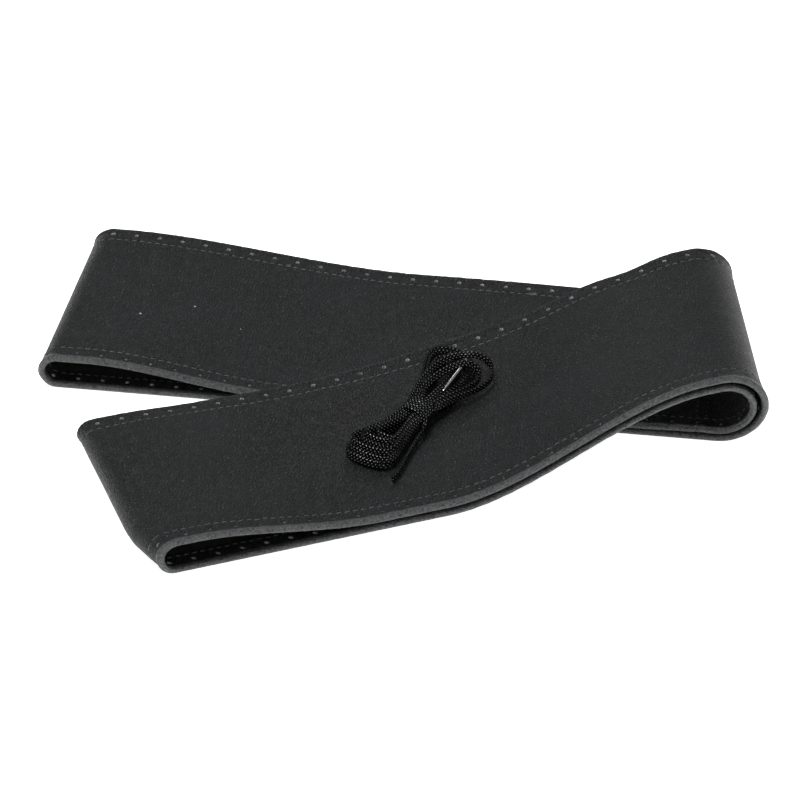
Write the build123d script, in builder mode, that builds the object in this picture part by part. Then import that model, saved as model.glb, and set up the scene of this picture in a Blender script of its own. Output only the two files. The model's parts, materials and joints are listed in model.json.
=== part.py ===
"""Lace-on leather steering wheel cover, folded flat, with its lacing cord and needle.

The cover is one closed band of leather, grain side out. Both edges are turned over to the
flesh side as hems and sewn down, and a row of lacing holes runs through each hem. The band is
pressed flat, which leaves a loop at each end, and is then folded once across its middle into
a V. The lower half lies on the table along X. The upper half crosses over it, and the hank
of lace lies on top with the needle tucked on it.

Millimetres, +Z up. The half folds on a cylinder whose rulings run along `ruling`, so that
the band keeps its length and its edges wind round the fold as a real strip's do.
"""

from build123d import *
from math import cos, pi, radians, sin, tan
import os

# The band, as it is cut and sewn.
strip_width = 95.0
leather = 1.2
hem_width = 10.0
hem_gap = 0.6
thread_width = 0.8
thread_height = 0.2
stitch_inset = 8.0
hole_radius = 1.0
hole_inset = 4.5
hole_pitch = 10.3
lower_length = 268.0
upper_length = 253.0

# The fold across the middle.
fold_skew = 13.8
fold_radius = 16.8
fold_clearance = 0.3
slope_start = 5.0
slope_run = 109.0

# How the upper half lies: its near edge on the table, its far edge on the lower half.
far_rest_lift = 7.9
far_rest_slope = 0.039
far_rest_from = 110.0

# The loops that are left at the two ends of the flattened band.
back_loop_near = 15.2
back_loop_far = 18.2
back_taper_near = 80.0
back_taper_far = 130.0
front_loop_near = 15.4
front_loop_far = 11.5
front_taper_near = 80.0
front_taper_far = 75.0
loop_flat = 18.0

# The closing seam, across the inner layer beside the fold.
seam_offset = 5.0
seam_tape_width = 5.0
seam_tape_height = 0.5
seam_row_spacing = 4.0
seam_clearance = 0.2

# The hank of lace and its needle, placed from the tied waist.
waist_from_fold = 118.0
waist_across = 11.0
hank_angle = 38.5
hank_height = 6.4
hank_clearance = 0.3
wrap_front = 4.5
wrap_back = -6.0
wrap_width = 12.0
wrap_height = 9.0
lace_width = 3.0
lace_thickness = 1.2
tail_start = -30.0
tail_length = 16.0
tail_across = 12.2
needle_length = 26.0
needle_radius = 0.75
needle_tip_length = 7.0
needle_tip_radius = 0.2
needle_eye_length = 4.0
needle_eye_width = 0.8
needle_clearance = 1.4
needle_start = 31.5
needle_across = 3.4
needle_turn = 3.6

# Sizes that follow from those above.
skew = radians(fold_skew)
heading = 2 * skew
stack = 4 * leather + hem_gap
half_stack = stack / 2
half_width = strip_width / 2
panel_depth = (hem_gap / 2 + leather, half_stack)
hem_depth = (hem_gap / 2, hem_gap / 2 + leather)
thread_depth = (hem_gap / 2 - thread_height, hem_gap / 2)
toward_fold = Vector(cos(skew), sin(skew), 0)
ruling = Vector(-sin(skew), cos(skew), 0)
upper_along = Vector(cos(heading), sin(heading), 0)
up = Vector(0, 0, 1)
fold_middle = half_stack + fold_radius
fold_top = half_stack + 2 * fold_radius
fold_arc = pi * fold_radius
fold_path = fold_arc / cos(skew)
skew_reach = half_width * tan(skew)


def smooth(share):
    """Ease from 0 to 1."""
    share = min(max(share, 0.0), 1.0)
    return share * share * (3 - 2 * share)


def near_to_far(near, far, across):
    """A value between the near edge and the far edge."""
    return near + (far - near) * (across + half_width) / strip_width


def loop_height(end, loop_near, loop_far, taper_near, taper_far, across):
    """Outer height of an end loop, at a distance from the end of the band."""
    height = near_to_far(loop_near, loop_far, across)
    taper = near_to_far(taper_near, taper_far, across)
    return stack + (height - stack) * (1 - smooth((end - loop_flat) / taper))


def back_loop(end, across):
    return loop_height(end, back_loop_near, back_loop_far, back_taper_near, back_taper_far, across)


def front_loop(end, across):
    return loop_height(
        end, front_loop_near, front_loop_far, front_taper_near, front_taper_far, across
    )


def lower_point(along, across, raised):
    """Middle surface of the lower half. `raised` is 1 for its top layer, 0 for its bottom."""
    lift = back_loop(along + lower_length, across) - stack
    return Vector(along, across, half_stack + raised * lift)


def upper_height(along, across):
    """Height of the upper half's middle surface, from the fold's top down to its rest."""
    lift = far_rest_lift - far_rest_slope * max(along - far_rest_from, 0.0)
    rest = near_to_far(half_stack, half_stack + lift, across)
    past_fold = along * cos(skew) + across * sin(skew)
    return fold_top - (fold_top - rest) * smooth((past_fold - slope_start) / slope_run)


def upper_point(along, across, raised):
    """Middle surface of the upper half, at a distance past the fold."""
    total = along + fold_path
    past_fold = along * cos(skew) + across * sin(skew)
    sideways = across * cos(skew) - total * sin(skew)
    lift = front_loop(upper_length - along, across) - stack
    height = upper_height(along, across) + raised * lift
    return ruling * sideways - toward_fold * past_fold + up * height


def band_point(along, across):
    """Middle surface where the lower half runs into the fold, and the way out of it there."""
    past_start = along * cos(skew) + across * sin(skew)
    turn = max(past_start, 0.0) / fold_radius
    outward = toward_fold * sin(turn) - up * cos(turn)
    sideways = ruling * (across * cos(skew) - along * sin(skew))
    flat = toward_fold * min(past_start, 0.0)
    return sideways + flat + up * fold_middle + outward * fold_radius, outward


def fold_point(turn, across):
    """Middle surface of the fold, at an angle round it, and the way out of the fold there."""
    return band_point((fold_radius * turn - across * sin(skew)) / cos(skew), across)


def section(near, far, outward):
    """A cut across the band: the plane, whose X runs to the far edge and Y outward."""
    across = (far - near).normalized()
    return Plane(origin=near, x_dir=across, z_dir=across.cross(outward)), (far - near).length


def ribbon(sections, edge, inset, width, depth):
    """A narrow strip, such as a hem or its sewing, beside the near or the far edge."""
    with BuildPart() as strip:
        for plane, reach in sections:
            middle = inset + width / 2
            if edge == "far":
                middle = reach - middle
            with BuildSketch(plane):
                with Locations((middle, (depth[0] + depth[1]) / 2)):
                    Rectangle(width, abs(depth[1] - depth[0]))
        loft(ruled=True)
    return strip.part


def panel(sections, depth):
    """A full-width strip that follows the cuts."""
    with BuildPart() as strip:
        for plane, reach in sections:
            with BuildSketch(plane):
                with Locations((reach / 2, (depth[0] + depth[1]) / 2)):
                    Rectangle(reach, abs(depth[1] - depth[0]))
        loft(ruled=True)
    return strip.part


def inner(depth):
    """The same depth in the layer on the other side of the middle surface."""
    return (-depth[1], -depth[0])


def steps(start, end, count):
    return [start + (end - start) * i / count for i in range(count + 1)]


# Cuts across each stretch of the band. The near and far ends of a cut may lie at
# different distances along the band, as they do beside the fold.
def lower_cut(near_along, far_along, raised):
    outward = up if raised else -up
    near = lower_point(near_along, -half_width, raised)
    far = lower_point(far_along, half_width, raised)
    return section(near, far, outward)


def upper_cut(near_along, far_along, raised):
    outward = up if raised else -up
    near = upper_point(near_along, -half_width, raised)
    far = upper_point(far_along, half_width, raised)
    return section(near, far, outward)


def fold_cut(turn):
    near, outward = fold_point(turn, -half_width)
    far, outward = fold_point(turn, half_width)
    return section(near, far, outward)


def loop_cut(turn, near_bottom, far_bottom, near_height, far_height, outward_end):
    """A cut round an end loop. Turn 0 is its bottom, and pi its top."""
    outward = outward_end * sin(turn) - up * cos(turn)
    ends = []
    for bottom, height in ((near_bottom, near_height), (far_bottom, far_height)):
        radius = height / 2
        centre = bottom + up * (radius - half_stack)
        ends.append(centre + outward * (radius - half_stack))
    return section(ends[0], ends[1], outward)


back_near_radius = back_loop_near / 2
back_far_radius = back_loop_far / 2
back_near_start = -lower_length + back_near_radius
back_far_start = -lower_length + back_far_radius
front_near_radius = front_loop_near / 2
front_far_radius = front_loop_far / 2
front_near_start = upper_length - front_near_radius
front_far_start = upper_length - front_far_radius

back_taper = steps(0, max(back_taper_near, back_taper_far) + loop_flat, 9)
lower_top_cuts = [lower_cut(back_near_start + s, back_far_start + s, 1) for s in back_taper]
lower_top_cuts.append(lower_cut(skew_reach, -skew_reach, 1))

slope_steps = steps(0, (slope_start + slope_run) / cos(skew), 11)
front_taper = steps(max(front_taper_near, front_taper_far) + loop_flat, 0, 6)


def upper_cuts(raised):
    cuts = [upper_cut(s + skew_reach, s - skew_reach, raised) for s in slope_steps]
    ends = front_taper if raised else front_taper[:1] + front_taper[-1:]
    cuts += [upper_cut(front_near_start - s, front_far_start - s, raised) for s in ends]
    return cuts


half_turn = 9
back_loop_cuts = [
    loop_cut(
        turn,
        lower_point(back_near_start, -half_width, 0),
        lower_point(back_far_start, half_width, 0),
        back_loop_near,
        back_loop_far,
        Vector(-1, 0, 0),
    )
    for turn in steps(0, pi, half_turn)
]
front_loop_cuts = [
    loop_cut(
        turn,
        upper_point(front_near_start, -half_width, 0),
        upper_point(front_far_start, half_width, 0),
        front_loop_near,
        front_loop_far,
        -upper_along,
    )
    for turn in steps(0, pi, half_turn)
]

quarter_steps = 6
clearance_turn = fold_clearance / (2 * (fold_radius - half_stack))
lower_fold_cuts = [fold_cut(t) for t in steps(0, pi / 2 - clearance_turn, quarter_steps)]
upper_fold_cuts = [fold_cut(t) for t in steps(pi / 2 + clearance_turn, pi, quarter_steps)]

pieces = []


def keep(part, label):
    part.label = label
    pieces.append(part)
    return part


def joined(parts):
    """Separate solids in one piece, such as the stretches of one hem."""
    with BuildPart() as group:
        for part in parts:
            add(part)
    return group.part


# The lower half's bottom layer lies exactly flat, with its lacing holes cut straight through.
flat_start = max(back_near_start, back_far_start)
flat_holes = int((-skew_reach - flat_start - hole_pitch) // hole_pitch) + 1
hole_middle = (flat_start - skew_reach) / 2
hole_rows = strip_width - 2 * hole_inset


def edge_along(across):
    """Where the flat layer starts and ends, at a distance across the band."""
    start = near_to_far(back_near_start, back_far_start, across)
    return start, -across * tan(skew)


def flat_layer(near_side, far_side, depth, holed):
    """The flat layer, or a strip of it, between two distances across the band."""
    near_start, near_end = edge_along(near_side)
    far_start, far_end = edge_along(far_side)
    with BuildPart() as layer:
        with BuildSketch(Plane.XY.offset(half_stack - depth[1])):
            with BuildLine():
                Polyline(
                    (near_start, near_side),
                    (near_end, near_side),
                    (far_end, far_side),
                    (far_start, far_side),
                    close=True,
                )
            make_face()
        extrude(amount=depth[1] - depth[0])
        if holed:
            with Locations((hole_middle, 0, 0)):
                with GridLocations(hole_pitch, hole_rows, flat_holes, 2):
                    Cylinder(hole_radius, 4 * half_stack, mode=Mode.SUBTRACT)
    return layer.part


keep(flat_layer(-half_width, half_width, panel_depth, True), "lower_bottom_panel")
keep(panel(lower_top_cuts, panel_depth), "lower_top_panel")
keep(panel(back_loop_cuts, panel_depth), "lower_end_loop")
keep(panel(lower_fold_cuts, panel_depth), "lower_fold_outer")
keep(panel(lower_fold_cuts, inner(panel_depth)), "lower_fold_inner")
keep(panel(upper_cuts(0), panel_depth), "upper_bottom_panel")
keep(panel(upper_cuts(1), panel_depth), "upper_top_panel")
keep(panel(front_loop_cuts, panel_depth), "upper_end_loop")
keep(panel(upper_fold_cuts, panel_depth), "upper_fold_outer")
keep(panel(upper_fold_cuts, inner(panel_depth)), "upper_fold_inner")

# Turned hems and their sewing run along both edges, on the flesh side of every stretch.
lower_stretches = [
    (lower_top_cuts, False),
    (back_loop_cuts, False),
    (lower_fold_cuts, False),
    (lower_fold_cuts, True),
]
upper_stretches = [
    (upper_cuts(0), False),
    (upper_cuts(1), False),
    (front_loop_cuts, False),
    (upper_fold_cuts, False),
    (upper_fold_cuts, True),
]
sewing_inset = stitch_inset - thread_width / 2


def hem_stretch(cuts, edge, turned):
    return ribbon(cuts, edge, 0, hem_width, inner(hem_depth) if turned else hem_depth)


def sewing_stretch(cuts, edge, turned):
    depth = inner(thread_depth) if turned else thread_depth
    return ribbon(cuts, edge, sewing_inset, thread_width, depth)


for edge in ("near", "far"):
    side = 1 if edge == "far" else -1
    hem_sides = sorted((side * half_width, side * (half_width - hem_width)))
    sewing_middle = side * (half_width - stitch_inset)
    sewing_sides = (sewing_middle - thread_width / 2, sewing_middle + thread_width / 2)
    lower_hem = [hem_stretch(cuts, edge, turned) for cuts, turned in lower_stretches]
    lower_hem.append(flat_layer(*hem_sides, hem_depth, True))
    keep(joined(lower_hem), f"lower_{edge}_hem")
    upper_hem = [hem_stretch(cuts, edge, turned) for cuts, turned in upper_stretches]
    keep(joined(upper_hem), f"upper_{edge}_hem")
    lower_sewing = [sewing_stretch(cuts, edge, turned) for cuts, turned in lower_stretches]
    lower_sewing.append(flat_layer(*sewing_sides, thread_depth, False))
    keep(joined(lower_sewing), f"lower_{edge}_thread")
    upper_sewing = [sewing_stretch(cuts, edge, turned) for cuts, turned in upper_stretches]
    keep(joined(upper_sewing), f"upper_{edge}_thread")


# The closing seam: a backing tape on the flesh side, and a row of stitches each side of it.
def seam_cuts(middle, width, reach):
    cuts = []
    for across in steps(-reach, reach, 14):
        low, outward = band_point(middle - width / 2, across)
        high, outward = band_point(middle + width / 2, across)
        cuts.append(section(low, high, outward))
    return cuts


tape_depth = -(hem_gap / 2 + leather - hank_clearance)
tape_cuts = seam_cuts(seam_offset, seam_tape_width, half_width - hem_width - hem_gap)
keep(panel(tape_cuts, (tape_depth, tape_depth + seam_tape_height)), "closing_seam_tape")
row_depth = -half_stack - seam_clearance
seam_rows = []
for side in (-1, 1):
    row = seam_offset + side * seam_row_spacing / 2
    row_cuts = seam_cuts(row, thread_width, half_width - thread_width)
    seam_rows.append(panel(row_cuts, (row_depth - thread_height, row_depth)))
keep(joined(seam_rows), "closing_seam_thread")


# The hank of lace lies on the upper half. Its own axis runs from the tied waist toward the
# fold, and its side runs toward the near edge.
def hank_point(forward, aside, height):
    turn = radians(hank_angle)
    along = waist_from_fold - forward * cos(turn) - aside * sin(turn)
    across = waist_across + forward * sin(turn) - aside * cos(turn)
    return upper_point(along, across, 1) + up * (half_stack + hank_clearance + height)


def hank_cut(forward, left, right):
    return section(hank_point(forward, left, 0), hank_point(forward, right, 0), up)


# Each bundle of loops is a flat teardrop: (distance from the waist, left side, right side).
front_loops = [(wrap_front, -5, 5), (14, -12, 8), (24, -17, 12), (33, -17, 13), (40, -9, 8)]
back_loops = [(wrap_back, -5, 5), (-15, -8, 9), (-28, -12, 12), (-37, -12, 11), (-43, -6, 7)]
wrap_cuts = [hank_cut(f, -wrap_width / 2, wrap_width / 2) for f in (wrap_back, wrap_front)]
keep(panel([hank_cut(*cut) for cut in front_loops], (0, hank_height)), "lace_front_loops")
keep(panel([hank_cut(*cut) for cut in back_loops], (0, hank_height)), "lace_back_loops")
keep(panel(wrap_cuts, (0, wrap_height)), "lace_waist_wrap")
tail_cuts = [
    hank_cut(tail_start - run, tail_across, tail_across + lace_width)
    for run in steps(0, tail_length, 2)
]
keep(panel(tail_cuts, (0, lace_thickness)), "lace_tail")

# The needle lies on the front loops, with its eye toward the fold.
needle_height = hank_height + needle_clearance + needle_radius
needle_aim = radians(needle_turn)
needle_end = needle_start - needle_length * cos(needle_aim)
needle_eye_end = hank_point(needle_start, needle_across, needle_height)
needle_tip_end = hank_point(
    needle_end, needle_across + needle_length * sin(needle_aim), needle_height
)
needle_along = (needle_tip_end - needle_eye_end).normalized()
needle_side = needle_along.cross(up).normalized()
needle_plane = Plane(origin=needle_eye_end, x_dir=needle_side, z_dir=needle_along)
with BuildPart() as needle:
    with BuildSketch(needle_plane):
        Circle(needle_radius)
    extrude(amount=needle_length - needle_tip_length)
    with BuildSketch(needle_plane.offset(needle_length - needle_tip_length)):
        Circle(needle_radius)
    with BuildSketch(needle_plane.offset(needle_length)):
        Circle(needle_tip_radius)
    loft()
    eye_middle = needle_eye_end + needle_along * (needle_eye_length / 2 + needle_radius)
    with BuildSketch(Plane(origin=eye_middle, x_dir=needle_along, z_dir=needle_side)):
        SlotOverall(needle_eye_length, needle_eye_width)
    extrude(amount=needle_radius, both=True, mode=Mode.SUBTRACT)
keep(needle.part, "needle")

# The origin is the middle of the cover's base. The lace and needle lie within it.
boxes = [piece.bounding_box() for piece in pieces if "lace" not in piece.label]
low = Vector(*(min(tuple(box.min)[i] for box in boxes) for i in range(3)))
high = Vector(*(max(tuple(box.max)[i] for box in boxes) for i in range(3)))
origin = Vector((low.X + high.X) / 2, (low.Y + high.Y) / 2, low.Z)

os.makedirs("parts", exist_ok=True)
for piece in pieces:
    placed = piece.moved(Location(-origin))
    placed.label = piece.label
    export_step(placed, f"parts/{piece.label}.step")


def report(name, point):
    print(name, *(round(value, 3) for value in (point.X, point.Y, point.Z)))


hinge_line = toward_fold * (fold_radius + half_stack) + up * fold_middle
band_length = 2 * (lower_length + upper_length) + 2 * fold_path
print("lacing holes in each row of the flat layer", flat_holes)
print("band length about", round(band_length))
report("size", high - low)
report("layout origin", -origin)
report("fold hinge", hinge_line - origin)
report("fold hinge direction", ruling)
report("hole pattern", Vector(hole_middle, 0, 0) - origin)
report("rest face", Vector(-lower_length / 2, 0, 0) - origin)
report("waist", hank_point(0, 0, 0) - origin)
report("needle direction", needle_along)
report("needle eye end", needle_eye_end - origin)
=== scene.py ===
"""Lace-on leather steering wheel cover, folded into a V, with its tied lace and its needle.

The cover is one closed band of leather, grain side out. Its edges are turned to the flesh side
as hems, sewn down with a row of lockstitch and punched for the lace. The flattened band is
folded once across its middle. The leather is built as the band is made: in the flat, with its
hems and holes, and is then laid on the folded shape.

A place on the band is given by three lengths: `run` along the band, `across` from its middle
line, and `depth` out from the middle of the double strip toward the grain side.
"""

import json
import logging
from dataclasses import dataclass, field
from enum import Enum
from math import cos, pi, radians, sin

import bpy
import numpy as np
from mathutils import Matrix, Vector

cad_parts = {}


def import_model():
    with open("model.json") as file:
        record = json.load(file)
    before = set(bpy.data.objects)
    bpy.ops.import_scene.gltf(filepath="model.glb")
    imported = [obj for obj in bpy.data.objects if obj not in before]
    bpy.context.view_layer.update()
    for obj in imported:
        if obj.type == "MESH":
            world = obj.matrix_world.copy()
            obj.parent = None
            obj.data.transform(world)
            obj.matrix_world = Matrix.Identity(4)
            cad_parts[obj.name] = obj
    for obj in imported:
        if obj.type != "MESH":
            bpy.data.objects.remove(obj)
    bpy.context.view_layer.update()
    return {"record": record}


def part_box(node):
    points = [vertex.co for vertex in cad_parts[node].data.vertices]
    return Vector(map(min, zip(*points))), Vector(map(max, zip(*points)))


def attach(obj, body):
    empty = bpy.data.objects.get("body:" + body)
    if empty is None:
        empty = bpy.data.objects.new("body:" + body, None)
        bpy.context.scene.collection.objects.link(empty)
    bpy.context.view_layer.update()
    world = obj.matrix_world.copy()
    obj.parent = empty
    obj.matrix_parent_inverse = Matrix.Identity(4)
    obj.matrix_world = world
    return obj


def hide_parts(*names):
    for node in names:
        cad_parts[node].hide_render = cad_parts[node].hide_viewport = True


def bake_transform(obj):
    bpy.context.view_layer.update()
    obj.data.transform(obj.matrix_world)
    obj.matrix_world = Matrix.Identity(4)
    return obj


MILLI = 0.001
log = logging.getLogger("wheel_cover")


def ease(share: np.ndarray | float) -> np.ndarray:
    """Ease from 0 to 1.

    Args:
        share: Progress, held between 0 and 1.

    Returns:
        The eased progress.
    """
    share = np.clip(share, 0.0, 1.0)
    return share * share * (3 - 2 * share)


def select_only(obj: bpy.types.Object) -> None:
    """Make obj the only selected object and the active one."""
    bpy.ops.object.select_all(action="DESELECT")
    obj.select_set(True)
    bpy.context.view_layer.objects.active = obj


def finish_mesh(obj: bpy.types.Object, sharp_degrees: float = 40.0) -> None:
    """Turn obj's faces outward and shade it smooth up to an angle.

    Args:
        obj: The piece. Its place and turn go into its mesh.
        sharp_degrees: The angle from which an edge stays sharp.
    """
    select_only(obj)
    bpy.ops.object.mode_set(mode="EDIT")
    bpy.ops.mesh.select_all(action="SELECT")
    bpy.ops.mesh.normals_make_consistent(inside=False)
    bpy.ops.object.mode_set(mode="OBJECT")
    bpy.ops.object.transform_apply(location=True, rotation=True, scale=True)
    bpy.ops.object.shade_smooth_by_angle(angle=radians(sharp_degrees))
    obj.select_set(False)


def new_mesh(name: str, points: np.ndarray, faces: list) -> bpy.types.Object:
    """Link a new mesh object.

    Args:
        name: The piece's name.
        points: Its vertices, in the row frame.
        faces: Its faces, as lists of vertex indices.

    Returns:
        The new object.
    """
    mesh = bpy.data.meshes.new(name)
    mesh.from_pydata(points.tolist(), [], faces)
    mesh.update()
    obj = bpy.data.objects.new(name, mesh)
    bpy.context.collection.objects.link(obj)
    return obj


def tube_faces(rings: int, sides: int) -> list[list[int]]:
    """Faces of a closed tube, whose points go round one ring after another.

    Args:
        rings: Number of rings.
        sides: Number of points in each.

    Returns:
        The sides, then the two end faces.
    """
    faces = []
    for base in range(0, (rings - 1) * sides, sides):
        for k in range(sides):
            n = (k + 1) % sides
            faces.append([base + n, base + sides + n, base + sides + k, base + k])
    last = (rings - 1) * sides
    return faces + [list(range(sides))[::-1], [last + k for k in range(sides)]]


def set_values(mesh: bpy.types.Mesh, name: str, values: np.ndarray) -> None:
    """Store one number for each vertex, for a material to read."""
    attribute = mesh.attributes.new(name, "FLOAT", "POINT")
    attribute.data.foreach_set("value", values.astype(np.float32))


# ---------------------------------------------------------------------------------------
# The folded band
# ---------------------------------------------------------------------------------------


class Stretch(Enum):
    """The four stretches that the closed band is built in."""

    LOWER = "lower"
    UPPER = "upper"
    FOLD_OUTER = "fold_outer"
    FOLD_INNER = "fold_inner"


@dataclass(frozen=True)
class FoldedBand:
    """The shape of the folded band, laid out from the start of the fold, in metres."""

    shift: tuple[float, float, float]
    strip_width: float = 95.0 * MILLI
    leather: float = 1.2 * MILLI
    hem_gap: float = 0.6 * MILLI
    lower_length: float = 268.0 * MILLI
    upper_length: float = 253.0 * MILLI
    skew: float = radians(13.8)
    fold_radius: float = 16.8 * MILLI
    slope_start: float = 5.0 * MILLI
    slope_run: float = 109.0 * MILLI
    far_rest_lift: float = 7.9 * MILLI
    far_rest_slope: float = 0.039
    far_rest_from: float = 110.0 * MILLI
    upper_curls: tuple = (
        (93.0 * MILLI, 27.0 * MILLI, 3.8 * MILLI, 5),
        (16.0 * MILLI, 13.0 * MILLI, -2.4 * MILLI, 3),
        (214.0 * MILLI, 26.0 * MILLI, -2.0 * MILLI, 5),
    )
    lower_curls: tuple = ((-98.0 * MILLI, 85.0 * MILLI, 2.0 * MILLI, 4),)
    end_places: tuple = (-47.5, -38.0, -28.0, -20.0, 47.5)
    end_shifts: tuple = (-2.8, 0.2, 3.0, 3.6, 2.6)
    back_shifts: tuple[float, float] = (-1.5 * MILLI, 5.0 * MILLI)
    back_loop: tuple[float, float] = (15.2 * MILLI, 18.2 * MILLI)
    back_taper: tuple[float, float] = (80.0 * MILLI, 130.0 * MILLI)
    front_loop: tuple[float, float] = (15.4 * MILLI, 11.5 * MILLI)
    front_taper: tuple[float, float] = (80.0 * MILLI, 75.0 * MILLI)
    loop_flat: float = 18.0 * MILLI
    hole_pitch: float = 10.3 * MILLI
    last_hole: float = -16.833 * MILLI
    fold_pitches: int = 9
    lower_pitches: int = 48
    upper_pitches: int = 46

    @property
    def stack(self) -> float:
        """Thickness of the flattened double strip."""
        return 4 * self.leather + self.hem_gap

    @property
    def half_stack(self) -> float:
        """Half of the double strip's thickness."""
        return self.stack / 2

    @property
    def half_width(self) -> float:
        """Half of the strip's width."""
        return self.strip_width / 2

    @property
    def toward_fold(self) -> np.ndarray:
        """Way that the band runs into the fold, square to the fold's ruling."""
        return np.array([cos(self.skew), sin(self.skew), 0.0])

    @property
    def ruling(self) -> np.ndarray:
        """Way that the fold's ruling runs, from the near edge to the far edge."""
        return np.array([-sin(self.skew), cos(self.skew), 0.0])

    @property
    def upper_along(self) -> np.ndarray:
        """Way back to the fold along the upper half."""
        return np.array([cos(2 * self.skew), sin(2 * self.skew), 0.0])

    @property
    def fold_path(self) -> float:
        """Length of band that the fold takes up."""
        return pi * self.fold_radius / cos(self.skew)

    @property
    def fold_begin(self) -> float:
        """Place along the lower half where the fold's stretches begin."""
        return self.last_hole - self.hole_pitch / 2

    @property
    def fold_end(self) -> float:
        """Place along the upper half where the fold's stretches end."""
        return self.fold_begin + self.fold_pitches * self.hole_pitch - self.fold_path

    def pitches(self, stretch: Stretch) -> int:
        """Number of hole pitches in a stretch."""
        if stretch is Stretch.LOWER:
            return self.lower_pitches
        if stretch is Stretch.UPPER:
            return self.upper_pitches
        return self.fold_pitches

    def length(self, stretch: Stretch) -> float:
        """Length of a stretch along the band."""
        return self.pitches(stretch) * self.hole_pitch

    def round_band(self, stretch: Stretch, run: np.ndarray) -> np.ndarray:
        """Place round the whole closed band, for a pattern that crosses the stretches.

        Args:
            stretch: The stretch that `run` is measured in.
            run: Distances along it.

        Returns:
            Distances round the band, in metres.
        """
        lower, fold = self.length(Stretch.LOWER), self.length(Stretch.FOLD_INNER)
        upper = self.length(Stretch.UPPER)
        if stretch is Stretch.LOWER:
            return run
        if stretch is Stretch.FOLD_INNER:
            return lower + run
        if stretch is Stretch.UPPER:
            return lower + fold + upper - run
        return lower + fold + upper + fold - run

    def between_edges(self, ends: tuple[float, float], across: np.ndarray) -> np.ndarray:
        """A value between the near edge's and the far edge's."""
        return ends[0] + (ends[1] - ends[0]) * (across + self.half_width) / self.strip_width

    def loop_lift(
        self,
        end: np.ndarray,
        across: np.ndarray,
        height: tuple[float, float],
        taper: tuple[float, float],
    ) -> np.ndarray:
        """How far the top layer stands off the bottom one near an end loop.

        Args:
            end: Distance from the end of the flattened band.
            across: Distance from its middle line.
            height: The loop's outer height at the near and the far edge.
            taper: The length over which it closes, at the near and the far edge.

        Returns:
            The lift above a closed double strip.
        """
        tall = self.between_edges(height, across) - self.stack
        return tall * (1 - ease((end - self.loop_flat) / self.between_edges(taper, across)))

    def curl(self, along: np.ndarray, across: np.ndarray, curls: tuple) -> np.ndarray:
        """How far a half's far edge curls up.

        Args:
            along: Distances along the half.
            across: Distances from its middle line.
            curls: Place, reach, rise and power of each curl.

        Returns:
            The rise of each point.
        """
        share = (across + self.half_width) / self.strip_width
        total = 0.0 * along
        for place, reach, rise, power in curls:
            total = total + rise * np.exp(-(((along - place) / reach) ** 2)) * share**power
        return total

    def lower_middle(self, along: np.ndarray, across: np.ndarray, raised: int) -> np.ndarray:
        """Middle surface of the lower half, raised 1 for its top layer and 0 for its bottom."""
        lift = self.loop_lift(along + self.lower_length, across, self.back_loop, self.back_taper)
        height = self.half_stack + raised * lift + self.curl(along, across, self.lower_curls)
        return np.stack([along, across, height], -1)

    def upper_height(self, along: np.ndarray, across: np.ndarray) -> np.ndarray:
        """Height of the upper half's middle surface."""
        top = self.half_stack + 2 * self.fold_radius
        past_from = np.maximum(along - self.far_rest_from, 0.0)
        lift = self.far_rest_lift - self.far_rest_slope * past_from
        share = (across + self.half_width) / self.strip_width
        rest = self.half_stack + lift * share
        past_fold = along * cos(self.skew) + across * sin(self.skew)
        height = top - (top - rest) * ease((past_fold - self.slope_start) / self.slope_run)
        return height + self.curl(along, across, self.upper_curls)

    def upper_middle(self, along: np.ndarray, across: np.ndarray, raised: int) -> np.ndarray:
        """Middle surface of the upper half, at distances past the fold."""
        total = along + self.fold_path
        past_fold = along * cos(self.skew) + across * sin(self.skew)
        sideways = across * cos(self.skew) - total * sin(self.skew)
        end = self.upper_length - along
        lift = self.loop_lift(end, across, self.front_loop, self.front_taper)
        height = self.upper_height(along, across) + raised * lift
        points = sideways[:, None] * self.ruling - past_fold[:, None] * self.toward_fold
        points[:, 2] = height
        return points

    def place_lower(self, run: np.ndarray, across: np.ndarray, depth: np.ndarray) -> np.ndarray:
        """Lay points of the lower stretch: bottom layer, back loop, top layer."""
        radius = self.between_edges(self.back_loop, across) / 2
        start = radius - self.lower_length + self.between_edges(self.back_shifts, across)
        flat = self.fold_begin - start
        arc = pi * (radius - self.half_stack)
        back = np.clip((run - flat - arc) / (self.length(Stretch.LOWER) - flat - arc), 0, 1)
        turn = pi * np.clip((run - flat) / arc, 0, 1)
        bottom = self.lower_middle(self.fold_begin - np.minimum(run, flat), across, 0)
        top = self.lower_middle(start + back * flat, across, 1)
        out = np.stack([-np.sin(turn), 0 * turn, -np.cos(turn)], -1)
        centre = np.stack([start, across, radius], -1)
        loop = centre + out * (radius - self.half_stack)[:, None]
        points = np.where((run < flat)[:, None], bottom, loop)
        points = np.where((back > 0)[:, None], top, points)
        return points + out * depth[:, None]

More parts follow.
